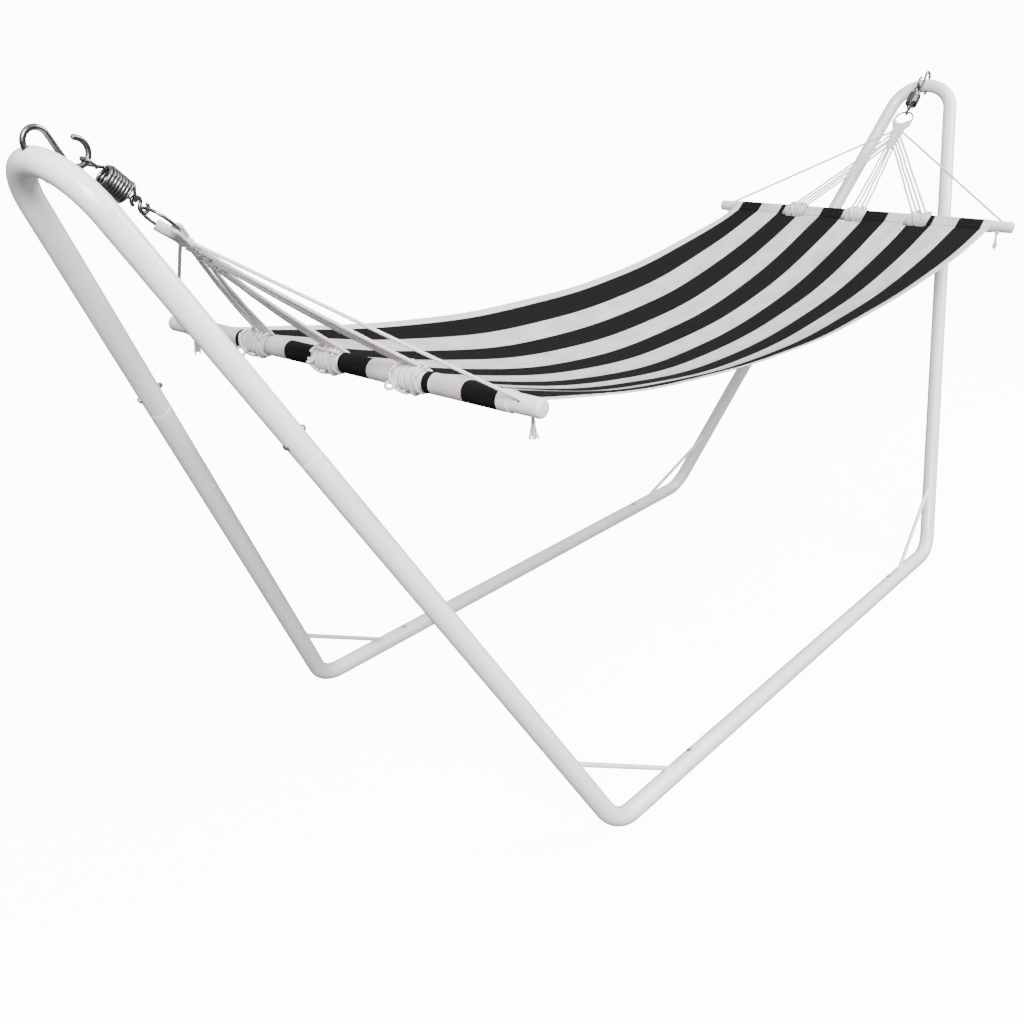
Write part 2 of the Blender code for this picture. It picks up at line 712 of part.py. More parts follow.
def make_bed(materials):
    """The striped sheet with its sleeves round the bars, notched for the cords, and its hems."""
    inner_y = BED_WIDTH / 2 - HEM_WIDTH - GAP
    stops = np.linspace(-BED_HALF_SPAN, BED_HALF_SPAN, 21)
    sheet = add_cloth("bed_fabric", stops, np.linspace(-inner_y, inner_y, 11),
                      materials["striped_fabric"])
    notches = [-NOTCH_SPACING, 0.0, NOTCH_SPACING]
    edges = [-BED_WIDTH / 2]
    for notch in notches:
        edges += [notch - NOTCH_WIDTH / 2, notch + NOTCH_WIDTH / 2]
    edges.append(BED_WIDTH / 2)
    for side in (LEFT, RIGHT):
        for start, end in zip(edges[::2], edges[1::2]):
            ends = np.array([bar_centre(side) + start * ACROSS, bar_centre(side) + end * ACROSS])
            sleeve = add_pipe("sleeve", ends, UP, circumscribed(SLEEVE_RADIUS),
                              circumscribed(BAR_DIAMETER / 2 + GAP), TUBE_SIDES)
            combine(sheet, sleeve, "UNION")
        for notch in notches:
            reach = BAR_DIAMETER / 2 + NOTCH_DEPTH
            centre = bar_centre(side) + notch * ACROSS
            half = (NOTCH_WIDTH / 2 - GAP) * ACROSS
            cutter = add_rod("notch", [centre - half, centre + half], UP, reach, TUBE_SIDES)
            combine(sheet, cutter, "DIFFERENCE")
    hem_span = BAR_SPACING / 2 - circumscribed(SLEEVE_RADIUS) - GAP
    hem_stops = np.linspace(-hem_span, hem_span, 17)
    hems = []
    for depth in (FRONT, REAR):
        lines = np.sort(depth * np.array((inner_y + GAP, BED_WIDTH / 2)))
        hems.append(add_cloth("hem_" + DEPTH_NAMES[depth], hem_stops, lines,
                              materials["white_binding"]))
    return [sheet] + hems


# ---------------------------------------------------------------- assembly

def add_pivot(name, location, parent=None):
    """An empty on a joint's axis that carries the pieces that move with it."""
    pivot = bpy.data.objects.new(name, None)
    pivot.location = tuple(location)
    bpy.context.scene.collection.objects.link(pivot)
    if parent:
        attach([pivot], parent)
    return pivot


def attach(items, pivot):
    """Parent objects to a pivot and leave them where they are."""
    bpy.context.view_layer.update()
    for item in items:
        item.parent = pivot
        item.matrix_parent_inverse = pivot.matrix_world.inverted()


def build():
    """Make every piece and parent the moving ones to their pivots."""
    for item in list(bpy.data.objects):
        bpy.data.objects.remove(item)
    materials = make_materials()
    white = materials["powder_coat"]
    steel = materials["bright_steel"]
    cotton = materials["cotton_cord"]

    for side in (LEFT, RIGHT):
        make_arch(side, white)
        for depth in (FRONT, REAR):
            make_corner(side, depth, white)
            make_brace(side, depth, white)
            make_fasteners(side, depth, materials["zinc"])
    for depth in (FRONT, REAR):
        make_rail(depth, white)

    hooks = []
    springs = []
    hammock = []
    for side in (LEFT, RIGHT):
        hooks.append(make_s_hook(side, steel))
        springs.append(make_spring(side, steel))
        hammock.append(make_link(side, steel))
        hammock.append(make_ring(side, steel))
        hammock.append(make_clew(side, cotton))
        for place, word in ((-NOTCH_SPACING, "front"), (0.0, "middle"), (NOTCH_SPACING, "rear")):
            name = "cord_bundle_" + word + "_" + SIDE_NAMES[side]
            hammock.append(make_bundle(side, place, name, cotton))
        for depth in (FRONT, REAR):
            hammock.append(make_edge_cord(side, depth, cotton))
        hammock.append(make_bar(side, materials["painted_wood"]))
    hammock += make_bed(materials)

    rock = add_pivot("hook_rock_axis", (0.0, 0.0, CROWN_HEIGHT))
    swing = add_pivot("swing_axis", (0.0, 0.0, station(LEFT, 0.0)[2]), rock)
    drop = add_pivot("load_drop_axis", (0.0, 0.0, BAR_HEIGHT), swing)
    attach(hooks, rock)
    attach(springs, swing)
    attach(hammock, drop)


build()
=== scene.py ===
"""A striped garden hammock on a white tubular stand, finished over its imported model.

Every piece is a surface worked out with numpy from the sizes in the panel, in metres,
X along the hammock, Y across it (front is -Y) and Z up, with the origin on the floor
under the middle of the stand.
"""
import math

import bpy
import numpy as np
from mathutils import Matrix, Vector
from bpy.props import FloatProperty, FloatVectorProperty, IntProperty, PointerProperty


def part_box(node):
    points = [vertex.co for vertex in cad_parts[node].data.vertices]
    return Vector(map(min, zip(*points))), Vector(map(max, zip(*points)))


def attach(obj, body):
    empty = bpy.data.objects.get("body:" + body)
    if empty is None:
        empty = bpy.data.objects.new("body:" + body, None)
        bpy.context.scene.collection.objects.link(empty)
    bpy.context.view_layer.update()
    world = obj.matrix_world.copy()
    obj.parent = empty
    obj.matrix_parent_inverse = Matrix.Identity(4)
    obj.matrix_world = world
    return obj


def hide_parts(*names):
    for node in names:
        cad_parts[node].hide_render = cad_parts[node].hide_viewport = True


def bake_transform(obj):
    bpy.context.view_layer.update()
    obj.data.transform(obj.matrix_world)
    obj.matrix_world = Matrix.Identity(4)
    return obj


bl_info = {
    "name": "Hammock on Stand",
    "version": (1, 0, 0),
    "blender": (4, 5, 0),
    "location": "View3D > Sidebar > Hammock",
    "description": "Tubular stand, spring hooks, cord harness, spreader bars and striped bed",
    "category": "Object",
}

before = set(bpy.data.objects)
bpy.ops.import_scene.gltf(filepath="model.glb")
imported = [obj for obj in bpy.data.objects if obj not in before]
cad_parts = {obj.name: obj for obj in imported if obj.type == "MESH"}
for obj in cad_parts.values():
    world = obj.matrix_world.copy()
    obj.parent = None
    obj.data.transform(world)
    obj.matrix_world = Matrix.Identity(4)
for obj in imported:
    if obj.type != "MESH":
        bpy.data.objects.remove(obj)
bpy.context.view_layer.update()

LEFT, RIGHT = -1, 1
FRONT, REAR = -1, 1
SIDES = {LEFT: "left", RIGHT: "right"}
DEPTHS = {FRONT: "front", REAR: "rear"}
CORNERS = [(side, depth) for side in SIDES for depth in DEPTHS]
PLACES = {-1: "front", 0: "middle", 1: "rear"}
GAP = 0.0003
WIRE_GAP = 0.0008
ALONG, ACROSS, UP = np.eye(3)

RAIL_LOW, RAIL_HIGH = (np.array(corner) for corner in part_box("rail_front"))
REAR_LOW, REAR_HIGH = (np.array(corner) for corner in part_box("rail_rear"))
BAR_LOW, BAR_HIGH = (np.array(corner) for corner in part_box("spreader_bar_right"))


# ---------------------------------------------------------------- sizes and colours

def size(name, description, default):
    """A length in metres."""
    return FloatProperty(name=name, description=description, default=float(default),
                         min=0.0, unit="LENGTH", precision=5)


def tint(name, description, default):
    """A colour without alpha."""
    return FloatVectorProperty(name=name, description=description, default=default,
                               size=3, min=0.0, max=1.0, subtype="COLOR")


class StandSizes(bpy.types.PropertyGroup):
    """Sizes of the two arches, the corner tubes, the rails and their fasteners."""
    tube: size("Tube", "Outside diameter of the stand's tubes", RAIL_HIGH[2] - RAIL_LOW[2])
    wall: size("Tube wall", "Wall thickness of the tubes", 0.0015)
    length: size("Base length", "Distance between the legs' axes at the floor", 1.554)
    width: size("Base width", "Distance between the rails' axes",
                (REAR_LOW[1] + REAR_HIGH[1] - RAIL_LOW[1] - RAIL_HIGH[1]) / 2)
    lean: FloatProperty(name="Lean", description="Angle of the arches from upright",
                        default=math.radians(29.2), subtype="ANGLE")
    crown: size("Crown height", "Height of the arches' axes at the top", 1.253)
    crown_bend: size("Crown bend", "Bend radius at the top of an arch", 0.094)
    corner_bend: size("Corner bend", "Bend radius of a corner tube", 0.085)
    leg_seam: size("Leg seam", "Distance up the leg to the joint with the arch", 0.970)
    rail_seam: size("Rail seam", "Distance along the rail to its joint", 0.285)
    spigot: size("Spigot", "Length of tube pushed into the next", 0.070)
    brace: size("Brace", "Diameter of the welded brace", 0.010)
    brace_leg: size("Brace on leg", "Distance up the leg to the brace", 0.200)
    brace_rail: size("Brace on rail", "Distance along the rail to the brace", 0.220)
    bolt: size("Bolt", "Thread diameter of the bolts", 0.006)
    bolt_head: size("Bolt head", "Diameter of a bolt's head", 0.012)
    nut: size("Nut", "Width of a nut across its flats", 0.010)


class HarnessSizes(bpy.types.PropertyGroup):
    """Sizes of the hooks, springs, links, rings and cords."""
    hook_wire: size("Hook wire", "Wire diameter of the S-hook", 0.008)
    hook_hole: size("Hook hole", "Hole through the crown for the hook", 0.0105)
    hook_tip: size("Hook tip", "How far the hook reaches out below the crown", 0.012)
    hook_clearance: size("Hook clearance", "Space between tube and hook shank", 0.011)
    hook_eye: size("Hook eye", "Bend radius of the hook's lower end", 0.018)
    hook_drop: size("Hook drop", "Length of the hook's shank", 0.038)
    spring_wire: size("Spring wire", "Wire diameter of the spring", 0.0045)
    spring: size("Spring", "Outside diameter of the spring", 0.036)
    spring_turns: FloatProperty(name="Turns", description="Number of closed coils", default=8.5)
    spring_top: size("Top loop", "Radius of the spring's upper loop", 0.0105)
    spring_end: size("End loop", "Radius of the spring's lower loop", 0.0078)
    spring_neck: size("Spring neck", "Wire length between loop and coils", 0.012)
    link_wire: size("Link wire", "Wire diameter of the small link", 0.0055)
    link_bend: size("Link bend", "Bend radius of the small link", 0.0068)
    link_reach: size("Link reach", "Distance from spring loop to ring", 0.016)
    ring: size("Ring", "Outside diameter of the cord ring", 0.060)
    ring_wire: size("Ring wire", "Wire diameter of the cord ring", 0.005)
    cord: size("Cord", "Diameter of a cord", 0.006)
    lay: size("Cord lay", "Length of cord in which its three strands turn once", 0.016)
    clew: size("Woven length", "Length of the woven cords below the ring", 0.090)
    clew_start: size("Woven start", "Width of the woven cords at the ring", 0.036)
    clew_end: size("Woven end", "Width of the woven cords at their end", 0.025)
    leave_first: FloatProperty(name="First leave", default=0.45,
                               description="Share of the woven length where the first cord leaves it")
    leave_step: FloatProperty(name="Leave step", default=0.16,
                              description="Share of the woven length from one leaving cord to the next")
    leave_edge: FloatProperty(name="Edge leave", default=0.25,
                              description="Share of the woven length where the edge cords leave it")
    pitch_bar: size("Pitch at bar", "Distance between cords of a bundle at the bar", 0.0135)
    wrap_pitch: size("Wrap pitch", "Distance between turns of a cord round the bar", 0.0056)
    knot: size("Knot", "Width of the knot below the bar", 0.015)
    tail: size("Tail", "Length of the frayed end below a knot", 0.036)
    seed: IntProperty(name="Seed", description="Choice of the small differences between knots",
                      default=7)


class BedSizes(bpy.types.PropertyGroup):
    """Sizes of the spreader bars, the striped cloth and its hems."""
    spacing: size("Bar spacing", "Distance between the bars' axes", BAR_LOW[0] + BAR_HIGH[0])
    height: size("Bar height", "Height of the bars' axes", (BAR_LOW[2] + BAR_HIGH[2]) / 2)
    bar_length: size("Bar length", "Length of a spreader bar", BAR_HIGH[1] - BAR_LOW[1])
    bar: size("Bar", "Diameter of a spreader bar", 0.030)
    bar_hole: size("Bar hole", "Diameter of the cord hole", 0.009)
    hole_inset: size("Hole inset", "Distance from the bar's end to its cord hole", 0.036)
    width: size("Bed width", "Width of the cloth with its hems", 0.790)
    sag: size("Sag", "How far the edges hang below the bars", 0.114)
    trough: size("Trough", "How far the middle hangs below the edges", 0.090)
    cloth: size("Cloth", "Thickness of the striped cloth", 0.0014)
    sleeve_wall: size("Sleeve wall", "Thickness of the sleeve in the packed model", 0.0017)
    stitch: size("Stitch line", "Distance from the bar's axis to the sleeve's seam", 0.034)
    hem: size("Hem", "Width of the white binding", 0.022)
    notch: size("Notch", "Width of a notch in the sleeve", 0.070)
    notch_depth: size("Notch depth", "Depth of a notch from the bar's face", 0.028)
    notch_spacing: size("Notch spacing", "Distance between notches", 0.190)
    stripes: IntProperty(name="Stripes", description="Number of stripes across the bed", default=11)


class Colours(bpy.types.PropertyGroup):
    """Base colours of the finishes, and the painted shade colour of the cords' grooves."""
    coat: tint("Powder coat", "Colour of the stand", (0.80, 0.80, 0.83))
    steel: tint("Steel", "Colour of hooks, springs and rings", (0.20, 0.20, 0.205))
    zinc: tint("Zinc", "Colour of bolts and nuts", (0.50, 0.50, 0.50))
    cord: tint("Cord", "Colour of the cotton cords", (0.70, 0.67, 0.66))
    # painted shade: the colour laid into the grooves between a cord's strands, where shade falls
    cord_groove_painted_shade: tint("Cord shade", "Colour between the strands", (0.48, 0.44, 0.43))
    wood: tint("Painted wood", "Colour of the bars", (0.68, 0.68, 0.69))
    dark: tint("Dark stripe", "Colour of the charcoal stripes", (0.0050, 0.0045, 0.0047))
    light: tint("Light stripe", "Colour of the pale stripes", (0.55, 0.525, 0.51))
    binding: tint("Binding", "Colour of the hems", (0.60, 0.60, 0.60))
    floor: tint("Floor", "Colour of the floor", (0.90, 0.90, 0.90))


def settings():
    """The stand, harness and bed sizes and the colours."""
    scene = bpy.context.scene
    return scene.hammock_stand, scene.hammock_harness, scene.hammock_bed, scene.hammock_colours


# ---------------------------------------------------------------- surfaces

def unit(vectors):
    """Vectors at length one."""
    vectors = np.asarray(vectors, dtype=float)
    return vectors / np.linalg.norm(vectors, axis=-1, keepdims=True)


def square_to(vectors, direction):
    """The unit parts of vectors that are square to unit directions."""
    vectors = np.asarray(vectors, dtype=float)
    dots = np.sum(vectors * direction, axis=-1, keepdims=True)
    return unit(vectors - dots * direction)


def mixed(start, end, share):
    """Straight mixing: start + share (end - start), with a row for each share."""
    return np.asarray(start) + np.asarray(share)[..., None] * (np.asarray(end) - np.asarray(start))


def lengths_along(path):
    """Running length of a path at each of its points."""
    steps = np.linalg.norm(np.diff(path, axis=0), axis=1)
    return np.concatenate(([0.0], np.cumsum(steps)))


def spaced(path, spacing):
    """The same path with points at one spacing along its length."""
    reach = lengths_along(path)
    stops = np.linspace(0.0, reach[-1], max(4, int(round(reach[-1] / spacing)) + 1))
    return np.stack([np.interp(stops, reach, path[:, axis]) for axis in range(3)], axis=1)


def flowing(points, spacing):
    """A smooth path through points: Catmull-Rom cubics, then one spacing along the length."""
    points = np.asarray(points, dtype=float)
    first, last = 2 * points[0] - points[1], 2 * points[-1] - points[-2]
    padded = np.vstack((first, points, last))
    share = np.linspace(0.0, 1.0, 13)[:-1][None, :, None]
    a, b, c, d = (padded[shift:len(padded) - 3 + shift][:, None, :] for shift in range(4))
    curve = 0.5 * (2 * b + (c - a) * share + (2 * a - 5 * b + 4 * c - d) * share ** 2
                   + (3 * b - a - 3 * c + d) * share ** 3)
    return spaced(np.vstack((curve.reshape(-1, 3), points[-1:])), spacing)


def arc(centre, first, second, radius, start, end, steps):
    """Points at a radius from a centre, by angle from the first axis towards the second."""
    angles = np.linspace(start, end, steps + 1)[:, None]
    return centre + radius * (np.cos(angles) * first + np.sin(angles) * second)


def bent(start, corner, end, radius, steps):
    """A straight, an arc of one radius tangent to both sides of a corner, and a straight."""
    arriving, leaving = unit(corner - start), unit(end - corner)
    turn = math.acos(float(arriving @ leaving))
    begin = corner - arriving * radius * math.tan(turn / 2)
    inward = square_to(leaving, arriving)
    curve = arc(begin + radius * inward, -inward, arriving, radius, 0.0, turn, steps)
    return np.vstack((start, curve, end))


def quads(rows, columns, closed_rows=False, closed_columns=False):
    """Corner numbers of the faces between neighbouring grid points."""
    row = np.arange(rows if closed_rows else rows - 1)[:, None]
    column = np.arange(columns if closed_columns else columns - 1)[None, :]
    next_row, next_column = (row + 1) % rows, (column + 1) % columns
    corners = [row * columns + column, row * columns + next_column,
               next_row * columns + next_column, next_row * columns + column]
    return np.stack([np.broadcast_to(c, (row.size, column.size)) for c in corners], axis=-1)


def grid_skin(points, around, along, closed_rows=False, closed_columns=False, capped=False):
    """A surface through a grid of points, with its own lengths round and along as UVs."""
    rows, columns = points.shape[:2]
    faces = quads(rows, columns, closed_rows, closed_columns)
    face_rows, face_columns = faces.shape[:2]
    low, high = around[:face_columns], around[1:face_columns + 1]
    near, far = along[:face_rows], along[1:face_rows + 1]
    uv = np.zeros(faces.shape + (2,))
    uv[..., (0, 3), 0] = low[None, :, None]
    uv[..., (1, 2), 0] = high[None, :, None]
    uv[..., (0, 1), 1] = near[:, None, None]
    uv[..., (2, 3), 1] = far[:, None, None]
    caps = []
    if capped:
        caps = [list(range(columns))[::-1], [(rows - 1) * columns + i for i in range(columns)]]
    return points.reshape(-1, 3), faces.reshape(-1, 4), uv.reshape(-1, 2), caps


def carried(path, reference, reach, sides, closed=False, capped=True, turn=0.0):
    """A round profile carried along a path: path + reach (cos a first + sin a second)."""
    path = np.asarray(path, dtype=float)
    if closed:
        tangents = unit(np.roll(path, -1, axis=0) - np.roll(path, 1, axis=0))
    else:
        steps = unit(np.diff(path, axis=0))
        tangents = unit(np.vstack((steps[:1], steps[:-1] + steps[1:], steps[-1:])))
    first = square_to(np.broadcast_to(reference, path.shape), tangents)
    second = np.cross(tangents, first)
    angles = turn + np.arange(sides) * 2 * math.pi / sides
    reach = np.asarray(reach, dtype=float)
    reach = np.broadcast_to(reach[:, None] if reach.ndim == 1 else reach, (len(path), sides))
    spokes = np.cos(angles)[None, :, None] * first[:, None, :]
    spokes = spokes + np.sin(angles)[None, :, None] * second[:, None, :]
    points = path[:, None, :] + reach[..., None] * spokes
    along = lengths_along(np.vstack((path, path[:1])) if closed else path)
    around = np.linspace(0.0, 1.0, sides + 1)
    return grid_skin(points, around, along, closed, True, capped and not closed)


def rounded_rod(path, reference, radius, sides, closed=False):
    """A rod whose ends are rounded: the last rings shrink along a quarter circle."""
    if closed:
        return carried(path, reference, radius, sides, True)
    path = np.asarray(path, dtype=float)
    angles = np.radians((80.0, 55.0, 28.0))
    start, end = unit(path[1] - path[0]), unit(path[-1] - path[-2])
    depth = radius * (1 - np.sin(angles))[:, None]
    reach = lengths_along(path)
    keep = (reach > 1.02 * radius) & (reach < reach[-1] - 1.02 * radius)
    middle = np.vstack((path[0] + radius * start, path[keep], path[-1] - radius * end))
    whole = np.vstack((path[0] + depth * start, middle, (path[-1] - depth * end)[::-1]))
    edge = radius * np.cos(angles)
    return carried(whole, reference, np.concatenate((edge, np.full(len(middle), radius), edge[::-1])),
                   sides)


def twisted_cord(path, reference, diameter, lay, sides=12, swell=None):
    """Three strands laid together: the radius rises to three rounded lobes that turn with length."""
    reach = lengths_along(path)
    angles = np.arange(sides) * 2 * math.pi / sides
    phase = 1.5 * (angles[None, :] + 2 * math.pi * reach[:, None] / lay)
    radius = diameter / 2 * (0.80 + 0.24 * np.abs(np.cos(phase)) ** 0.7)
    if swell is not None:
        radius = radius * np.asarray(swell)[:, None]
    return carried(path, reference, radius, sides)


def open_tube(path, reference, outer, inner, sides):
    """An outer and an inner skin along a path, joined by a rounded lip at each end."""
    path = np.asarray(path, dtype=float)
    outer = np.broadcast_to(outer, len(path)).astype(float)
    inner = np.broadcast_to(inner, len(path)).astype(float)
    soft = 0.0004
    start, end = unit(path[1] - path[0]), unit(path[-1] - path[-2])
    line = np.vstack((path[0], path[0] + soft * start, path[1:-1], path[-1] - soft * end, path[-1]))
    out = np.concatenate(([outer[0] - soft, outer[0]], outer[1:-1], [outer[-1], outer[-1] - soft]))
    bore = np.concatenate(([inner[0]], inner[:1], inner[1:-1], inner[-1:], [inner[-1]]))
    skins = carried(line, reference, out, sides, capped=False)
    lining = carried(line, reference, bore, sides, capped=False)
    count = len(line) * sides
    points = np.vstack((skins[0], lining[0]))
    inside = lining[1][:, ::-1] + count
    lining_uv = lining[2].reshape(-1, 4, 2)[:, ::-1].reshape(-1, 2)
    here = np.arange(sides)
    following = (here + 1) % sides
    last = (len(line) - 1) * sides
    lips = np.vstack((
        np.stack((following, here, count + here, count + following), axis=1),
        np.stack((last + here, last + following, count + last + following, count + last + here),
                 axis=1)))
    faces = np.vstack((skins[1], inside, lips))
    uv = np.vstack((skins[2], lining_uv, np.zeros((len(lips) * 4, 2))))
    return points, faces, uv, []


def turned(base, axis, profile, sides=36, flats=None):
    """A profile of (height, radius) turned about an axis, with hexagonal flats where asked."""
    profile = np.asarray(profile, dtype=float)
    side = square_to(UP if abs(axis @ UP) < 0.9 else ALONG, axis)
    path = base + profile[:, :1] * axis
    angles = np.arange(sides) * 2 * math.pi / sides
    hexagon = math.cos(math.pi / 6) / np.cos(angles % (math.pi / 3) - math.pi / 6)
    flats = np.zeros(len(profile)) if flats is None else np.asarray(flats, dtype=float)
    reach = profile[:, 1:] * (1 + flats[:, None] * (hexagon[None, :] - 1))
    other = np.cross(axis, side)
    spokes = np.cos(angles)[:, None] * side + np.sin(angles)[:, None] * other
    points = path[:, None, :] + reach[..., None] * spokes[None, :, :]
    along = np.concatenate(([0.0], np.cumsum(np.hypot(*np.diff(profile, axis=0).T))))
    return grid_skin(points, np.linspace(0.0, 1.0, sides + 1), along, False, True, True)


def put(name, skins, material, sharp=40.0):
    """One mesh object from one skin or several, shaded smooth below an angle."""
    if isinstance(skins, tuple):
        skins = [skins]
    shift, points, faces, uvs = 0, [], [], []
    for vertices, corners, uv, caps in skins:
        points.append(vertices)
        faces += (corners + shift).tolist() + [[i + shift for i in cap] for cap in caps]
        uvs.append(np.vstack([uv] + [np.zeros((len(cap), 2)) for cap in caps]))
        shift += len(vertices)
    mesh = bpy.data.meshes.new(name)
    mesh.from_pydata(np.vstack(points).tolist(), [], faces)
    layer = mesh.uv_layers.new(name="lengths")
    layer.data.foreach_set("uv", np.vstack(uvs).astype(np.float32).ravel())
    mesh.shade_smooth()
    mesh.set_sharp_from_angle(angle=math.radians(sharp))
    mesh.materials.append(material)
    item = bpy.data.objects.new(name, mesh)
    bpy.context.scene.collection.objects.link(item)
    return item


def freeze(item):
    """Turn an object's modifiers into plain mesh."""
    graph = bpy.context.evaluated_depsgraph_get()
    mesh = bpy.data.meshes.new_from_object(item.evaluated_get(graph))
    item.modifiers.clear()
    item.data = mesh
    return item


def drill(item, holes, material):
    """Cut round holes, each a centre, direction, length and radius, through an object."""
    for centre, direction, length, radius in holes:
        half = direction * length / 2
        side = ACROSS if abs(direction @ ACROSS) < 0.9 else UP
        rod = carried(np.array((centre - half, centre + half)), side, radius, 24)
        cutter = put("drill", rod, material)
        modifier = item.modifiers.new("hole", "BOOLEAN")
        modifier.object = cutter
        modifier.operation = "DIFFERENCE"
        modifier.solver = "EXACT"
        freeze(item)
        bpy.data.objects.remove(cutter)
    item.data.set_sharp_from_angle(angle=math.radians(40.0))
    return item


def fit(item, body, slot, *nodes):
    """Let a piece ride on a body in place of its CAD nodes."""
    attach(item, body)
    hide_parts(*nodes)
    return item


# ---------------------------------------------------------------- finishes

class Finish:
    """A node material under construction."""

    def __init__(self, name, colour, roughness, metallic=0.0):
        self.material = bpy.data.materials.new(name)
        self.material.use_nodes = True
        self.material.diffuse_color = (*colour, 1.0)
        self.nodes = self.material.node_tree.nodes
        self.links = self.material.node_tree.links
        self.shader = self.nodes["Principled BSDF"]
        self.shader.inputs["Base Color"].default_value = (*colour, 1.0)
        self.shader.inputs["Roughness"].default_value = roughness
        self.shader.inputs["Metallic"].default_value = metallic
        self.place = self.nodes.new("ShaderNodeTexCoord")

    def put_value(self, socket, value):
        """Link a socket, or set a plain number or colour."""
        if isinstance(value, bpy.types.NodeSocket):
            self.links.new(value, socket)
        else:
            socket.default_value = value

    def math(self, operation, first, second=0.0, third=0.0):
        """A Math node."""
        node = self.nodes.new("ShaderNodeMath")
        node.operation = operation
        for socket, value in zip(node.inputs, (first, second, third)):
            self.put_value(socket, value)
        return node.outputs[0]

    def uv(self):
        """Length round and length along of the piece's own UV map."""
        node = self.nodes.new("ShaderNodeSeparateXYZ")
        self.links.new(self.place.outputs["UV"], node.inputs[0])
        return node.outputs[0], node.outputs[1]

    def vector(self, x, y, z=0.0):
        """A vector from three values."""
        node = self.nodes.new("ShaderNodeCombineXYZ")
        for socket, value in zip(node.inputs, (x, y, z)):
            self.put_value(socket, value)
        return node.outputs[0]

    def noise(self, scale, detail=3.0, stretch=(1.0, 1.0, 1.0), vector=None):
        """Noise on Object coordinates, or on a vector of its own."""
        mapping = self.nodes.new("ShaderNodeMapping")
        mapping.inputs["Scale"].default_value = stretch
        self.links.new(vector or self.place.outputs["Object"], mapping.inputs["Vector"])
        node = self.nodes.new("ShaderNodeTexNoise")
        node.inputs["Scale"].default_value = scale
        node.inputs["Detail"].default_value = detail
        self.links.new(mapping.outputs[0], node.inputs["Vector"])
        return node.outputs["Fac"]

    def blend(self, share, first, second):
        """One colour turning into another."""
        node = self.nodes.new("ShaderNodeMix")
        node.data_type = "RGBA"
        self.put_value(node.inputs["Factor"], share)
        for socket, value in zip((node.inputs[6], node.inputs[7]), (first, second)):
            self.put_value(socket, (*value, 1.0) if isinstance(value, tuple) else value)
        return node.outputs[2]

    def spread(self, value, low, high, start=0.0, end=1.0):
        """Map a range of values to another, and clamp it."""
        node = self.nodes.new("ShaderNodeMapRange")
        self.links.new(value, node.inputs["Value"])
        for name, number in zip(("From Min", "From Max", "To Min", "To Max"), (low, high, start, end)):
            node.inputs[name].default_value = number
        return node.outputs[0]

    def bump(self, height, distance, strength=1.0):
        """Relief of a height in metres."""
        node = self.nodes.new("ShaderNodeBump")
        node.inputs["Strength"].default_value = strength
        node.inputs["Distance"].default_value = distance
        self.links.new(height, node.inputs["Height"])
        self.links.new(node.outputs[0], self.shader.inputs["Normal"])

    def wire(self, name, value):
        """Link a value to one of the shader's sockets."""
        self.links.new(value, self.shader.inputs[name])

    def set(self, **numbers):
        """Set plain numbers on the shader's sockets."""
        for name, number in numbers.items():
            self.shader.inputs[name.replace("_", " ")].default_value = number


def scaled(colour, share):
    """A colour made lighter or darker."""
    return tuple(min(1.0, channel * share) for channel in colour)


def powder_coat(colour):
    """Glossy white powder coat with a faint orange peel and small shifts of shade."""
    finish = Finish("white_powder_coat", colour, 0.28)
    mottle = finish.spread(finish.noise(6.0, 2.0), 0.35, 0.65)
    finish.wire("Base Color", finish.blend(mottle, scaled(colour, 0.975), scaled(colour, 1.01)))
    finish.wire("Roughness", finish.spread(finish.noise(40.0, 3.0), 0.3, 0.7, 0.24, 0.34))
    finish.bump(finish.noise(420.0, 2.0), 0.00006, 0.5)
    finish.set(Coat_Weight=0.35, Coat_Roughness=0.12)
    return finish.material


def plated_wire(name, colour, roughness):
    """Plated steel with drawn streaks, smoky patches and a slightly uneven gloss."""
    finish = Finish(name, colour, roughness, 1.0)
    patches = finish.spread(finish.noise(160.0, 4.0), 0.35, 0.7)
    finish.wire("Base Color", finish.blend(patches, scaled(colour, 0.72), scaled(colour, 1.25)))
    finish.wire("Roughness", finish.spread(finish.noise(900.0, 3.0), 0.3, 0.7,
                                           roughness - 0.06, roughness + 0.10))
    finish.bump(finish.noise(1500.0, 2.0), 0.00003, 0.35)
    return finish.material


def cotton_cord(colour, shade):
    """Laid cotton: painted shade in the grooves between three strands that turn with length, and fine lint.
    """
    finish = Finish("cotton_rope", colour, 0.92)
    around, along = finish.uv()
    turns = finish.math("MULTIPLY_ADD", along, 1.0 / 0.016, around)
    lobe = finish.math("ABSOLUTE", finish.math("COSINE", finish.math("MULTIPLY", turns, 3 * math.pi)))
    fibre = finish.noise(1100.0, 3.0)
    # painted shade: this mask darkens the grooves between the strands towards the painted shade colour
    groove_shade_mask = finish.spread(lobe, 0.05, 0.55)
    base = finish.blend(groove_shade_mask, shade, colour)
    tone = finish.spread(finish.noise(60.0, 3.0), 0.35, 0.68)
    # fine lint: random flecks take a darker tint made from the painted groove shade colour
    finish.wire("Base Color", finish.blend(tone, finish.blend(fibre, base, scaled(shade, 1.15)), base))
    finish.bump(finish.math("ADD", lobe, finish.math("MULTIPLY", fibre, 0.5)), 0.0004, 0.6)
    finish.set(Specular_IOR_Level=0.1)
    return finish.material


def painted_wood(colour):
    """White paint over wood: long faint grain, brush marks and slightly dull gloss."""
    finish = Finish("white_painted_wood", colour, 0.45)
    grain = finish.noise(90.0, 4.0, (1.0, 0.05, 1.0))
    finish.wire("Base Color", finish.blend(finish.spread(grain, 0.4, 0.7), colour, scaled(colour, 0.93)))
    finish.wire("Roughness", finish.spread(finish.noise(50.0, 3.0), 0.3, 0.7, 0.38, 0.55))
    finish.bump(grain, 0.0002, 0.5)
    finish.set(Coat_Weight=0.15, Coat_Roughness=0.3)
    return finish.material


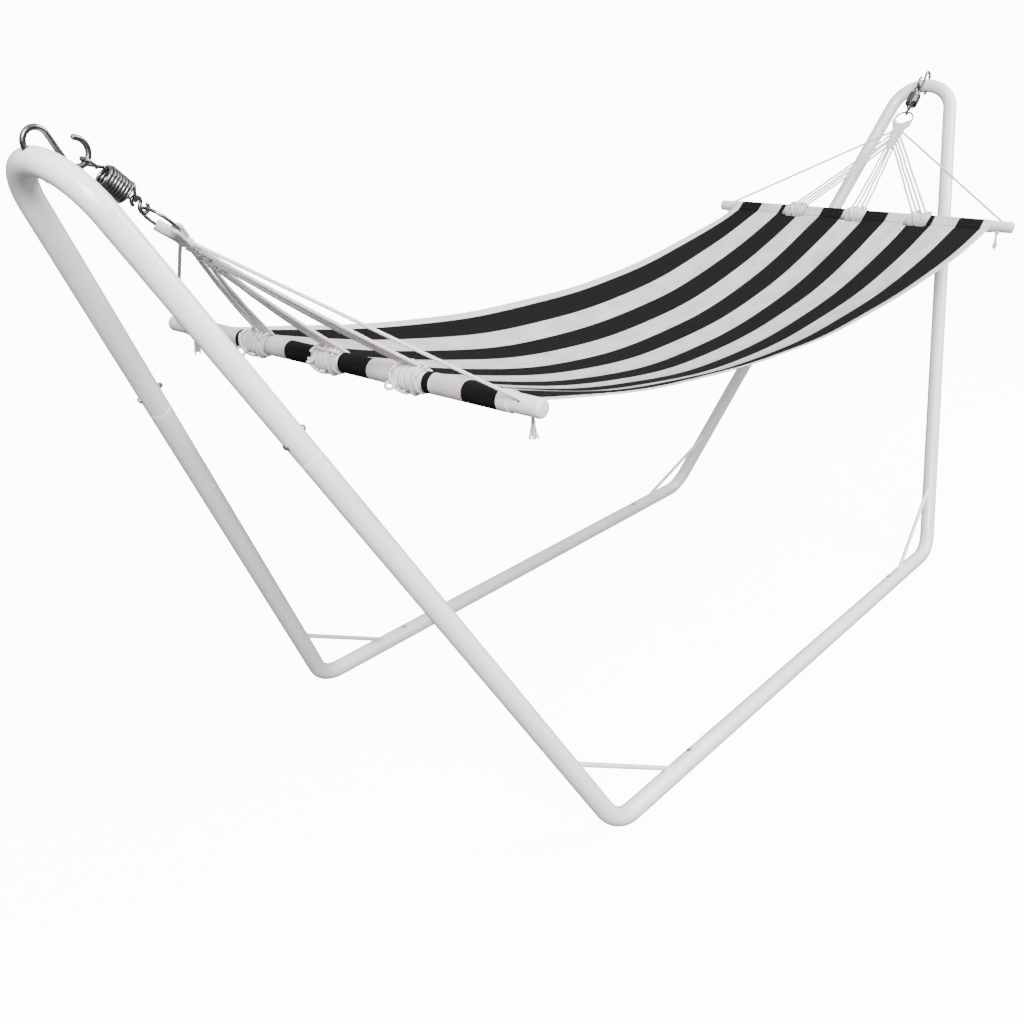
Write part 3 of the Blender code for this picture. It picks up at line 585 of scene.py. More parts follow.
def woven(finish, around, along, pitch):
    """Height of a plain weave: warp and weft humps that pass over each other by turns."""
    warp = finish.math("MULTIPLY", around, math.pi / pitch)
    weft = finish.math("MULTIPLY", along, math.pi / pitch)
    ridges = finish.math("MULTIPLY", finish.math("SINE", warp), finish.math("SINE", weft))
    return finish.math("MULTIPLY_ADD", ridges, 0.5, 0.5)


def striped_cloth(bed, colours):
    """Yarn-dyed stripes: charcoal and pale bands by distance across, in a heathered plain weave, with painted
    wrinkle shade in cloudy patches on the pale bands.
    """
    dark, light, binding = (tuple(c) for c in (colours.dark, colours.light, colours.binding))
    finish = Finish("striped_cotton", dark, 0.93)
    around, along = finish.uv()
    frayed = finish.noise(700.0, 2.0, (1.0, 0.15, 1.0), finish.vector(around, along))
    shifted = finish.math("MULTIPLY_ADD", frayed, 0.0012, around)
    pitch = (bed.width - 2 * bed.hem) / bed.stripes
    band = finish.math("DIVIDE", finish.math("ADD", shifted, bed.width / 2 - bed.hem), 2 * pitch)
    pale = finish.math("GREATER_THAN", finish.math("FRACT", band), 0.5)
    edge = finish.math("GREATER_THAN", finish.math("ABSOLUTE", around), bed.width / 2 - bed.hem)
    thread = finish.noise(420.0, 4.0, (1.0, 0.25, 1.0), finish.vector(around, along))
    fleck = finish.noise(1400.0, 2.0, (1.0, 0.5, 1.0), finish.vector(around, along))
    flecks = finish.spread(fleck, 0.56, 0.80)
    heather = finish.spread(thread, 0.30, 0.72)
    # painted shade: cloudy random patches mark where the pale stripes darken, standing in for the shade of
    # small wrinkles
    shade_patch_mask = finish.spread(finish.noise(26.0, 5.0, (1.0, 0.4, 1.0), finish.vector(around, along)), 0.32, 0.66)
    charcoal = finish.blend(finish.math("MULTIPLY", flecks, 0.07),
                            finish.blend(heather, scaled(dark, 0.65), scaled(dark, 1.8)), light)
    # painted shade colour of those patches: the pale stripe darkened towards a pinkish grey
    wrinkle_painted_shade = tuple(a * b for a, b in zip(light, (0.80, 0.765, 0.76)))
    cream = finish.blend(heather, scaled(light, 0.92), scaled(light, 1.07))
    cream = finish.blend(shade_patch_mask, wrinkle_painted_shade, cream)
    stripes = finish.blend(pale, charcoal, cream)
    finish.wire("Base Color", finish.blend(edge, stripes, binding))
    weave = woven(finish, around, along, 0.0011)
    finish.bump(finish.math("ADD", weave, finish.math("MULTIPLY", thread, 0.8)), 0.0003, 0.7)
    finish.wire("Roughness", finish.spread(thread, 0.3, 0.7, 0.90, 1.0))
    finish.set(Specular_IOR_Level=0.04)
    return finish.material


def white_binding(colour):
    """White cotton tape: a fine rib, soft shade from handling, and a stitched line."""
    finish = Finish("white_cotton_tape", colour, 0.9)
    around, along = finish.uv()
    tone = finish.spread(finish.noise(25.0, 4.0), 0.3, 0.7)
    stitch_place = finish.math("LESS_THAN", finish.math("ABSOLUTE", finish.math(
        "SUBTRACT", finish.math("FRACT", finish.math("MULTIPLY", around, 2.0)), 0.16)), 0.022)
    dash = finish.math("GREATER_THAN", finish.math("FRACT", finish.math("MULTIPLY", along, 250.0)), 0.3)
    stitches = finish.math("MULTIPLY", stitch_place, dash)
    base = finish.blend(tone, scaled(colour, 0.94), scaled(colour, 1.02))
    finish.wire("Base Color", finish.blend(finish.math("MULTIPLY", stitches, 0.35), base,
                                           scaled(colour, 0.6)))
    rib = finish.math("SINE", finish.math("MULTIPLY", along, 2 * math.pi / 0.0014))
    finish.bump(finish.math("SUBTRACT", rib, stitches), 0.0002, 0.5)
    finish.set(Specular_IOR_Level=0.1)
    return finish.material


def finish_named(name):
    """A finish of the hammock, made when it is first asked for."""
    colours = settings()[3]
    makers = {
        "white_powder_coat": lambda: powder_coat(tuple(colours.coat)),
        "spring_steel": lambda: plated_wire("spring_steel", tuple(colours.steel), 0.22),
        "zinc_plate": lambda: plated_wire("zinc_plate", tuple(colours.zinc), 0.32),
        "cotton_rope": lambda: cotton_cord(tuple(colours.cord), tuple(colours.cord_groove_painted_shade)),
        "white_painted_wood": lambda: painted_wood(tuple(colours.wood)),
        "striped_cotton": lambda: striped_cloth(settings()[2], colours),
        "white_cotton_tape": lambda: white_binding(tuple(colours.binding)),
    }
    return bpy.data.materials.get(name) or makers[name]()


# ---------------------------------------------------------------- layout of the stand

def arch_up(side):
    """Unit vector up an arch's middle line: the arch leans outwards."""
    lean = settings()[0].lean
    return np.array((side * math.sin(lean), 0.0, math.cos(lean)))


def arch_inward(side):
    """Unit vector square to an arch's plane, towards the hammock."""
    lean = settings()[0].lean
    return np.array((-side * math.cos(lean), 0.0, math.sin(lean)))


def arch_rise():
    """Length of an arch's middle line from the rails' height to the crown's axis."""
    stand = settings()[0]
    return (stand.crown - stand.tube / 2) / math.cos(stand.lean)


def leg_slant():
    """Angle between leg and middle line for legs tangent to the crown bend."""
    stand = settings()[0]
    half, rise = stand.width / 2, arch_rise() - stand.crown_bend
    return math.acos(stand.crown_bend / math.hypot(half, rise)) - math.atan2(rise, half)


def corner_point(side, depth):
    """Where the axes of a leg and a rail meet."""
    stand = settings()[0]
    return np.array((side * stand.length / 2, depth * stand.width / 2, stand.tube / 2))


def leg_direction(side, depth):
    """Unit vector up a leg."""
    slant = leg_slant()
    return math.cos(slant) * arch_up(side) - math.sin(slant) * depth * ACROSS


def crown_centre(side):
    """The middle of the tube at the top of an arch."""
    return corner_point(side, 0) + arch_rise() * arch_up(side)


def leg_bolt_place(side, depth):
    """Where a leg bolt crosses its leg, and its direction towards the nut."""
    leg = leg_direction(side, depth)
    centre = corner_point(side, depth) + (settings()[0].leg_seam + 0.036) * leg
    return centre, square_to(-side * ALONG, leg)


def rail_screw_place(side, depth):
    """Where a rail screw points at its rail, and its direction out to the head."""
    distance = settings()[0].rail_seam - 0.020
    direction = square_to(leg_direction(side, depth), ALONG)
    return corner_point(side, depth) - side * distance * ALONG, direction


def hook_offset():
    """Distance between the S-hook's leg in the tube and its shank."""
    stand, harness, _, _ = settings()
    return stand.tube / 2 + harness.hook_wire / 2 + harness.hook_clearance


def hook_eye_centre(side):
    """Centre of the S-hook's lower bend."""
    harness = settings()[1]
    drop, reach = hook_offset() / 2 - harness.hook_drop, hook_offset() + harness.hook_eye
    return crown_centre(side) + drop * arch_up(side) + reach * arch_inward(side)


# ---------------------------------------------------------------- layout of the harness

def bar_centre(side):
    """The middle of a spreader bar."""
    bed = settings()[2]
    return np.array((side * bed.spacing / 2, 0.0, bed.height))


def pull(side):
    """Unit vector from a hook down to its spreader bar."""
    return unit(bar_centre(side) - hook_eye_centre(side))


def lift(side):
    """Unit vector square to the pull, pointing up."""
    return square_to(UP, pull(side))


def station(side, distance, across=0.0, above=0.0):
    """Points by distance from the hook along the pull, with offsets across and above."""
    start = hook_eye_centre(side) + settings()[1].hook_eye * pull(side)
    distance, across, above = np.broadcast_arrays(distance, across, above)
    return (start + distance[..., None] * pull(side) + across[..., None] * ACROSS
            + above[..., None] * lift(side))


def harness_stops():
    """Distances from the hook of spring, link, ring and woven cords, as each hangs in the last."""
    h = settings()[1]
    touch = (h.spring_wire + h.link_wire) / 2 + WIRE_GAP
    top = h.spring_top - (h.hook_wire + h.spring_wire) / 2 - WIRE_GAP
    barrel = top + h.spring_top + h.spring_neck
    end = barrel + h.spring_turns * (h.spring_wire + GAP) + h.spring_end
    link = end + h.spring_end - touch
    ring = link + touch + h.link_reach + (h.ring - h.ring_wire) / 2
    clew = ring + h.ring / 2 + GAP
    return {"touch": touch, "top": top, "barrel": barrel, "end": end, "link": link,
            "ring": ring, "clew": clew}


def clew_half_width(distance):
    """Half the width of the woven cords, shrinking evenly with distance."""
    h = settings()[1]
    share = (distance - harness_stops()["clew"]) / h.clew
    return (h.clew_start + (h.clew_end - h.clew_start) * share) / 2


def bar_reach(side):
    """Distance from the hook to the bar's axis."""
    return float((bar_centre(side) - station(side, 0.0)) @ pull(side))


# ---------------------------------------------------------------- stand

def arch_tube(side):
    """Two straight legs tangent to a crown arc, as a hollow tube drilled for the hook."""
    stand, harness, _, _ = settings()
    feet = [corner_point(side, depth) + (stand.leg_seam + GAP) * leg_direction(side, depth)
            for depth in (FRONT, REAR)]
    apex = corner_point(side, 0) + stand.width / 2 / math.tan(leg_slant()) * arch_up(side)
    path = bent(feet[0], apex, feet[1], stand.crown_bend, 40)
    legs = [mixed(path[0], path[1], np.linspace(0, 1, 9)[:-1]),
            mixed(path[-2], path[-1], np.linspace(0, 1, 9)[1:])]
    path = np.vstack((legs[0], path[1:-1], legs[1]))
    coat = finish_named("white_powder_coat")
    tube = open_tube(path, arch_inward(side), stand.tube / 2, stand.tube / 2 - stand.wall, 56)
    item = put("arch_" + SIDES[side] + "_tube", tube, coat)
    drill(item, [(crown_centre(side), arch_up(side), 2 * stand.tube, harness.hook_hole / 2)], coat)
    fit(item, "stand", "powder_coat", "arch_" + SIDES[side])


def corner_tube(side, depth):
    """Spigot, shoulder, straight leg, floor bend and rail socket, as one hollow tube."""
    stand = settings()[0]
    leg, corner = leg_direction(side, depth), corner_point(side, depth)
    top = corner + (stand.leg_seam + stand.spigot) * leg
    shoulder = corner + stand.leg_seam * leg
    bend = bent(shoulder, corner, corner - side * stand.rail_seam * ALONG, stand.corner_bend, 24)
    rounding = np.array((0.0006, 0.0012, 0.002))[:, None]
    straight = mixed(shoulder - 0.01 * leg, bend[1], np.linspace(0, 1, 12)[:-1])
    path = np.vstack((top, shoulder + 0.0004 * leg, shoulder - rounding * leg, straight, bend[1:]))
    radius = stand.tube / 2
    outer = np.full(len(path), radius)
    spigot = radius - stand.wall - GAP
    outer[:5] = (spigot, spigot, radius - 0.0009, radius - 0.0003, radius)
    inner = np.full(len(path), radius - stand.wall)
    inner[:2] = spigot - stand.wall
    name = "corner_tube_" + DEPTHS[depth] + "_" + SIDES[side]
    tube = open_tube(path, unit(np.cross(leg, ALONG)), outer, inner, 56)
    item = put(name + "_bent", tube, finish_named("white_powder_coat"))
    fit(item, "stand", "powder_coat", name)


def meets_tube(origins, direction, axis_point, axis, radius, nearer):
    """Where lines reach a tube: the roots of |origin + t direction - axis| = radius."""
    flat = direction - (direction @ axis) * axis
    away = origins - axis_point
    away = away - (away @ axis)[:, None] * axis
    a, b = flat @ flat, 2 * away @ flat
    root = np.sqrt(b * b - 4 * a * (np.sum(away * away, axis=1) - radius ** 2))
    return origins + ((-b + nearer * root) / (2 * a))[:, None] * direction


def brace_bar(side, depth):
    """A round bar between leg and rail, with a rippled weld bead where it meets each."""
    stand = settings()[0]
    corner, leg = corner_point(side, depth), leg_direction(side, depth)
    start = corner + stand.brace_leg * leg
    end = corner - side * stand.brace_rail * ALONG
    run = unit(end - start)
    first = square_to(ACROSS, run)
    second = np.cross(run, first)
    angles = np.arange(32)[:, None] * 2 * math.pi / 32
    spokes = stand.brace / 2 * (np.cos(angles) * first + np.sin(angles) * second)
    radius = stand.tube / 2 - 0.0004
    top = meets_tube(start + spokes, run, start, leg, radius, 1)
    low = meets_tube(end + spokes, run, end, ALONG, radius, -1)
    share = np.linspace(0.0, 1.0, 14)[:, None, None]
    points = top[None] + share * (low - top)[None]
    rod = grid_skin(points, np.linspace(0, 1, 33), share.ravel() * 0.2, False, True, True)
    ripple = 0.0021 + 0.0004 * np.sin(np.arange(96) * 2 * math.pi / 6)
    beads = []
    for ring in (top, low):
        loop = np.vstack((ring, ring[:1]))
        fine = spaced(loop, lengths_along(loop)[-1] / 96)[:-1]
        beads.append(carried(fine, run, ripple[:len(fine)], 14, closed=True))
    name = "brace_" + DEPTHS[depth] + "_" + SIDES[side]
    item = put(name + "_welded", [rod] + beads, finish_named("white_powder_coat"))
    fit(item, "stand", "powder_coat", name)


def floor_rail(depth):
    """A straight hollow rail whose stepped ends plug into the corner tubes."""
    stand = settings()[0]
    seam = stand.length / 2 - stand.rail_seam - GAP
    radius = stand.tube / 2
    half = np.array((seam + stand.spigot, seam + 0.0004, seam - 0.0006, seam - 0.0012,
                     seam - 0.002, seam - 0.03, seam / 2))
    spigot = radius - stand.wall - GAP
    out = np.array((spigot, spigot, radius - 0.0009, radius - 0.0003, radius, radius, radius))
    bore = np.full(7, radius - stand.wall)
    bore[:2] = spigot - stand.wall
    x = np.concatenate((-half, half[::-1]))
    path = np.stack((x, np.full(14, depth * stand.width / 2), np.full(14, radius)), axis=1)
    rail = open_tube(path, UP, np.concatenate((out, out[::-1])), np.concatenate((bore, bore[::-1])), 56)
    item = put("rail_" + DEPTHS[depth] + "_tube", rail, finish_named("white_powder_coat"))
    fit(item, "stand", "powder_coat", "rail_" + DEPTHS[depth])


def screw_profile(length, head, shank, dome):
    """Heights and radii of a pointed shank, a washer face, a domed head and its socket."""
    return [(-length, 0.55 * shank), (-length + 0.0006, shank), (-0.0002, shank),
            (-0.0001, head - 0.0002), (0.0002, head), (0.0008, head), (0.0010, head - 0.0003),
            (0.0011, 0.86 * head), (0.55 * dome, 0.84 * head), (0.82 * dome, 0.70 * head),
            (dome, 0.48 * head), (dome, 0.42 * head), (dome - 0.0003, 0.38 * head),
            (dome - 0.0016, 0.36 * head), (dome - 0.0017, 0.02 * head)]


def corner_fasteners(side, depth):
    """The leg's domed bolt with its chamfered nut, and the rail's domed screw."""
    stand = settings()[0]
    place = DEPTHS[depth] + "_" + SIDES[side]
    zinc = finish_named("zinc_plate")
    seat, shank, head = stand.tube / 2 + GAP, stand.bolt / 2, stand.bolt_head / 2
    socket = [0.0] * 12 + [1.0, 1.0, 1.0]
    centre, inner = leg_bolt_place(side, depth)
    profile = screw_profile(2 * seat + 0.007, head, shank, 0.0035)
    bolt = put("leg_bolt_" + place + "_domed",
               turned(centre - seat * inner, -inner, profile, 36, socket), zinc, 30)
    fit(bolt, "stand", "zinc", "leg_bolt_" + place)
    half = stand.nut / 2 / math.cos(math.pi / 6)
    rings = [(0.0, shank + 0.0002), (0.0, half * 0.90), (0.0006, half), (0.0030, half),
             (0.0037, half * 0.90), (0.0038, half * 0.78), (0.0047, half * 0.74),
             (0.0050, half * 0.66), (0.0050, shank + 0.0002)]
    flats = [0.0, 0.0, 1.0, 1.0, 0.4, 0.0, 0.0, 0.0, 0.0]
    skin = turned(centre + seat * inner, inner, rings, 36, flats)
    bore = quads(2, 36, False, True).reshape(-1, 4)
    bore = np.where(bore >= 36, bore - 36, bore + 8 * 36)
    skin = (skin[0], np.vstack((skin[1], bore)), np.vstack((skin[2], np.zeros((len(bore) * 4, 2)))), [])
    nut = put("leg_nut_" + place + "_hexagon", skin, zinc, 30)
    fit(nut, "stand", "zinc", "leg_nut_" + place)
    centre, outward = rail_screw_place(side, depth)
    profile = screw_profile(0.012, head, shank, 0.0035)
    screw = put("rail_screw_" + place + "_domed",
                turned(centre + seat * outward, outward, profile, 36, socket), zinc, 30)
    fit(screw, "stand", "zinc", "rail_screw_" + place)


# ---------------------------------------------------------------- hooks, springs, links, rings

def s_hook(side):
    """A rod through the crown, over the tube in a half circle, down and round an open eye."""
    stand, h, _, _ = settings()
    up, inward, bend = arch_up(side), arch_inward(side), hook_offset() / 2
    tip = crown_centre(side) - (stand.tube / 2 + h.hook_tip) * up
    over = arc(crown_centre(side) + bend * (up + inward), inward, up, bend, math.pi, 0.0, 32)
    eye = arc(hook_eye_centre(side), inward, up, h.hook_eye, math.pi, math.pi + math.radians(250), 44)
    path = np.vstack((mixed(tip, over[0], np.linspace(0, 1, 8)[:-1]), over,
                      mixed(over[-1], eye[0], np.linspace(0, 1, 5)[1:-1]), eye))
    rod = rounded_rod(path, ACROSS, h.hook_wire / 2, 28)
    name = "s_hook_" + SIDES[side]
    fit(put(name + "_rod", rod, finish_named("spring_steel")), "hooks", "bright_steel", name)


def tension_spring(side):
    """An end loop, coils that widen from it at one wire per turn, and an end loop."""
    h, stops = settings()[1], harness_stops()
    along, above = pull(side), lift(side)
    coil = (h.spring - h.spring_wire) / 2
    top = arc(station(side, stops["top"]), ACROSS, along, h.spring_top,
              math.radians(-250), math.radians(20), 36)
    turns = np.linspace(0.0, h.spring_turns, int(h.spring_turns * 36) + 1)
    widening = np.clip((turns + 0.5) / 1.5, 0.0, 1.0)
    radius = h.spring_top + (coil - h.spring_top) * widening * widening * (3 - 2 * widening)
    angle = turns * 2 * math.pi
    helix = station(side, stops["barrel"] + turns * (h.spring_wire + GAP),
                    radius * np.cos(angle), radius * np.sin(angle))
    end = arc(station(side, stops["end"]), -ACROSS, along, h.spring_end, 0.0, math.radians(250), 28)
    path = flowing(np.vstack((top[::2], helix[6:-6:3], end[1::2])), 0.0016)
    mix = np.clip((lengths_along(path) - 0.030) / 0.01, 0, 1)[:, None]
    mix = mix * np.clip((lengths_along(path)[-1] - 0.024 - lengths_along(path)) / 0.01, 0, 1)[:, None]
    reference = unit((1 - mix) * above + mix * along)
    rod = rounded_rod_with(path, reference, h.spring_wire / 2, 14)
    name = "spring_" + SIDES[side]
    item = put(name + "_coil", rod, finish_named("spring_steel"))
    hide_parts(name)
    start = station(side, stops["barrel"])
    finish = station(side, stops["end"] - h.spring_end)
    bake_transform(item)


def rounded_rod_with(path, references, radius, sides):
    """A rod with a reference vector for each ring and ends that shrink over one radius."""
    reach = lengths_along(path)
    edge = np.minimum(reach, reach[-1] - reach)
    share = np.clip(edge / radius, 0.0, 1.0)
    swell = np.sqrt(np.clip(1 - (1 - share) ** 2, 0.02, 1.0))
    return carried(path, references, radius * swell, sides)


def small_link(side):
    """An S of two bends, one round the spring's loop and one round the ring."""
    h, stops = settings()[1], harness_stops()
    along, above = pull(side), lift(side)
    bottom = stops["link"] + stops["touch"] + h.link_reach + (h.ring_wire + h.link_wire) / 2 + WIRE_GAP
    upper = station(side, stops["link"] + h.link_bend)
    lower = station(side, bottom - h.link_bend)
    closeness = 2 * h.link_bend / (bottom - stops["link"] - 2 * h.link_bend)
    crossing = math.acos(min(closeness, 1.0)) - math.pi / 2
    over = arc(upper, above, -along, h.link_bend, math.radians(190), crossing, 36)
    under = arc(lower, -above, along, h.link_bend, crossing, math.radians(190), 36)
    bridge = mixed(over[-1], under[0], np.linspace(0, 1, 8)[1:-1])
    rod = rounded_rod(np.vstack((over, bridge, under)), ACROSS, h.link_wire / 2, 20)
    name = "link_hook_" + SIDES[side]
    fit(put(name + "_rod", rod, finish_named("spring_steel")), "hammock", "bright_steel", name)


def cord_ring(side):
    """A closed circle of round wire, a little thicker at its weld."""
    h = settings()[1]
    path = arc(station(side, harness_stops()["ring"]), -pull(side), ACROSS,
               (h.ring - h.ring_wire) / 2, 0.0, 2 * math.pi, 120)[:-1]
    turn = np.arange(120) * 3.0 - 40.0
    radius = h.ring_wire / 2 + 0.0003 * np.exp(-(turn / 6.0) ** 2)
    rod = carried(path, lift(side), radius, 24, closed=True)
    name = "ring_" + SIDES[side]
    fit(put(name + "_round", rod, finish_named("spring_steel")), "hammock", "bright_steel", name)


# ---------------------------------------------------------------- cords

def ring_seat(side, order):
    """Where cord number order (0 to 11) crosses the ring: wire centre and outward direction."""
    h = settings()[1]
    angle = math.radians(114.0) * (order - 5.5) / 11
    outward = math.cos(angle) * pull(side) + math.sin(angle) * ACROSS
    return station(side, harness_stops()["ring"]) + (h.ring - h.ring_wire) / 2 * outward, outward


def leave_share(order):
    """Share of the woven length at which cord 0 to 11 leaves it, from the outermost to the middle four."""
    h = settings()[1]
    return np.minimum(h.leave_first + h.leave_step * np.minimum(order, 11 - order), 1.0)


def edge_rank(share):
    """How many cord spacings lie between the middle and the edge at a share of the woven length."""
    h = settings()[1]
    stops = np.append(0.0, h.leave_first + h.leave_step * np.arange(4))
    return np.interp(share, np.append(stops, 1.0), (5.5, 5.5, 4.5, 3.5, 2.5, 1.5))


def weave_row(side, order, share, height):
    """A point of a woven cord: even spacing across the wedge at a share of its length."""
    stops = harness_stops()
    distance = stops["clew"] + share * settings()[1].clew
    half = clew_half_width(distance) - settings()[1].cord / 2 + 0.0012
    return station(side, distance, half * (order - 5.5) / edge_rank(share), height)


def woven_head(side):
    """The cords' loops over the ring and the cords woven over and under down the wedge."""
    h = settings()[1]
    over = (h.ring_wire + h.cord) / 2 + 0.0002
    skins = []
    for order in range(12):
        centre, outward = ring_seat(side, order)
        angles = np.radians(np.linspace(64, 296, 9))[:, None]
        loop = centre + over * (np.cos(angles) * outward + np.sin(angles) * lift(side))
        last = float(leave_share(order))
        count = 4 + int(round(last * 8))
        heights = 0.0030 * np.cos(np.pi * (np.arange(count) + order))
        down = weave_row(side, order, np.linspace(0.10, last, count), heights)
        back = weave_row(side, order, np.array((0.30, 0.12)), np.array((-0.0022, -0.0030)))
        path = flowing(np.vstack((back, loop[::-1], down)), 0.0028)
        skins.append(twisted_cord(path, ACROSS + 0.35 * lift(side), h.cord, h.lay))
    for row in range(8):
        share = 0.145 + row * 0.105
        rank = float(edge_rank(share))
        orders = 5.5 + np.linspace(-1.02, 1.02, 24) * rank
        heights = -0.0034 * np.cos(np.pi * (orders + row))
        path = flowing(weave_row(side, orders, share + 0.02 * np.sin(orders * 0.5 + row), heights), 0.0028)
        skins.append(twisted_cord(path, lift(side) + 0.3 * pull(side), h.cord * 0.80, h.lay))
    angles = np.linspace(0.0, 2 * math.pi, 24, endpoint=False)
    core = np.stack([station(side, harness_stops()["clew"] + share * h.clew,
                             -side * 0.80 * clew_half_width(harness_stops()["clew"] + share * h.clew)
                             * np.cos(angles), 0.0016 * np.sin(angles))
                     for share in np.linspace(0.04, 0.97, 8)])
    skins.append(grid_skin(core, np.linspace(0, 1, 25), np.linspace(0, h.clew, 8), False, True, True))
    name = "clew_" + SIDES[side]
    fit(put(name + "_woven", skins, finish_named("cotton_rope")), "hammock", "cotton_cord", name)


def round_bar(side, angle, across, radius):
    """Points round a bar by angle from the lift towards the pull."""
    angle, across, radius = np.broadcast_arrays(angle, across, radius)
    return (bar_centre(side) + across[..., None] * ACROSS
            + (radius * np.cos(angle))[..., None] * lift(side)
            + (radius * np.sin(angle))[..., None] * pull(side))


def cord_bundle(side, place):
    """Four cords that fan out, wrap the bar and are tied off with crossing turns and loops."""
    _, h, bed, _ = settings()
    random = np.random.default_rng(h.seed + 10 * (place + 1) + (side + 1))
    middle = place * bed.notch_spacing
    wrap = bed.bar / 2 + GAP + h.cord / 2
    reach = bar_reach(side)
    stops = harness_stops()
    skins = []
    for index in range(4):
        order = index - 1.5
        number = 4 * (place + 1) + index
        share = float(leave_share(number)) - (0.05 if place else 0.0)
        start = stops["clew"] + share * h.clew
        start_y = weave_row(side, number, share, 0.0)[1]
        arrive_y = middle + order * h.pitch_bar - 0.0066
        lean = 0.0022 * math.cos(math.pi * (11 + number))
        straight = np.linspace(0.0, 1.0, 9)
        distance = start + straight * (reach - start)
        drift = random.normal(0.0, 0.0006, 9) * np.sin(math.pi * straight)
        across = start_y + straight * (arrive_y - start_y) + drift
        above = lean * (1 - straight) ** 3 + wrap * straight - 0.003 * np.sin(math.pi * straight)
        run = station(side, distance, across, above)
        turns = 2.3 + 0.2 * random.random()
        angle = np.linspace(0.0, 2 * math.pi * turns, int(22 * turns))[1:]
        wobble = 0.0004 * np.sin(3 * angle + index)
        coil = round_bar(side, angle, arrive_y + h.wrap_pitch * angle / (2 * math.pi) + wobble, wrap)
        path = spaced(np.vstack((flowing(run, 0.0034), coil)), 0.0032)
        lead = lengths_along(path)
        bend = math.hypot(reach - start, arrive_y - start_y)
        mix = np.clip((lead - bend + 0.03) / 0.02, 0, 1)[:, None]
        reference = unit((1 - mix) * (lift(side) + 0.2 * ACROSS) + mix * ACROSS)
        skins.append(twisted_cord(path, reference, h.cord, h.lay, 11))
    for cross in (0, 1):
        turn = np.linspace(-0.55 * math.pi, (1.3 + 0.2 * random.random()) * math.pi, 40)
        share = np.linspace(-1.0, 1.0, 40) * (1 if cross else -1)
        path = round_bar(side, turn, middle + 0.027 * share + 0.001 * np.sin(2 * turn),
                         wrap + h.cord * (0.86 + 0.10 * cross))
        skins.append(twisted_cord(spaced(path, 0.0030), ACROSS + 0.001 * lift(side),
                                  h.cord * 0.92, h.lay, 11))
    for loop in range(3):
        side_shift = (-1, 1, 0.3)[loop] * (0.014 + 0.010 * random.random())
        angle0 = math.radians(random.uniform(200, 250) if loop == 1 else random.uniform(285, 335))
        base = round_bar(side, angle0, middle + side_shift, wrap + 0.004)
        outward = unit(base - (bar_centre(side) + (middle + side_shift) * ACROSS))
        width = unit(ACROSS * random.uniform(0.8, 1.0) + pull(side) * random.uniform(-0.5, 0.5))
        angles = np.linspace(-0.42 * math.pi, 1.42 * math.pi, 15)
        tall, wide = random.uniform(0.0066, 0.0096), random.uniform(0.0062, 0.0088)
        curve = (base + (tall * (1 + np.sin(angles)))[:, None] * (0.75 * outward - 0.45 * UP)
                 + (wide * np.cos(angles))[:, None] * width)
        path = flowing(curve, 0.0026)
        skins.append(twisted_cord(path, np.cross(outward, width), h.cord * 0.85, h.lay, 11))
    name = "cord_bundle_" + PLACES[place] + "_" + SIDES[side]
    fit(put(name + "_tied", skins, finish_named("cotton_rope")), "hammock", "cotton_cord", name)


def edge_cord(side, depth):
    """A straight cord through the bar's end hole, a trefoil knot below and a frayed tail."""
    _, h, bed, _ = settings()
    random = np.random.default_rng(h.seed + 100 + side + 3 * depth)
    stops = harness_stops()
    hole = depth * (bed.bar_length / 2 - bed.hole_inset)
    reach, radius = bar_reach(side), bed.bar / 2
    leave = stops["clew"] + h.leave_edge * h.clew
    inside = station(side, stops["clew"] + 0.08 * h.clew, depth * 0.009, 0.0)
    begin = station(side, leave, depth * (clew_half_width(leave) + 0.001), 0.0)
    mouth = station(side, reach - radius - 0.003, hole)
    through = mixed(mouth, station(side, reach + radius + 0.001, hole), np.linspace(0.2, 1, 5))
    run = flowing(np.vstack((inside, mixed(begin, mouth, np.linspace(0, 1, 9)), through)), 0.0034)
    skins = [twisted_cord(run, lift(side) + 0.2 * ACROSS, h.cord * 0.96, h.lay, 11)]
    centre = station(side, reach + radius + h.knot / 2 + GAP, hole)
    t = np.linspace(0.0, 2 * math.pi, 90)[:, None]
    size_of_knot = h.knot / 2 - h.cord / 2
    knot = centre + size_of_knot / 3 * ((np.sin(t) + 2 * np.sin(2 * t)) * ACROSS
                                        + (np.cos(t) - 2 * np.cos(2 * t)) * lift(side)
                                        - 1.3 * np.sin(3 * t) * pull(side))
    skins.append(twisted_cord(knot, pull(side), h.cord * 0.92, h.lay, 11))
    below = centre + h.knot / 2 * 0.7 * (0.6 * pull(side) - UP)
    for strand in range(18):
        spread = unit(random.normal(size=3) * np.array((1.0, 1.0, 0.2)))
        width = random.uniform(0.0020, 0.0078)
        length = h.tail * random.uniform(0.78, 1.0)
        share = np.linspace(0.0, 1.0, 8)[:, None]
        curl = 0.0016 * np.sin(share * random.uniform(4, 8) + strand) * spread[[1, 0, 2]]
        hang = centre + (below - centre) * np.minimum(share * 5, 1.0) - length * share * UP
        hang = hang + width * share ** 1.3 * spread + curl
        skins.append(rounded_rod(flowing(hang, 0.003), ACROSS + 0.3 * ALONG, 0.0014, 7))
    name = "edge_cord_" + DEPTHS[depth] + "_" + SIDES[side]
    fit(put(name + "_knotted", skins, finish_named("cotton_rope")), "hammock", "cotton_cord", name)


# ---------------------------------------------------------------- bars and bed

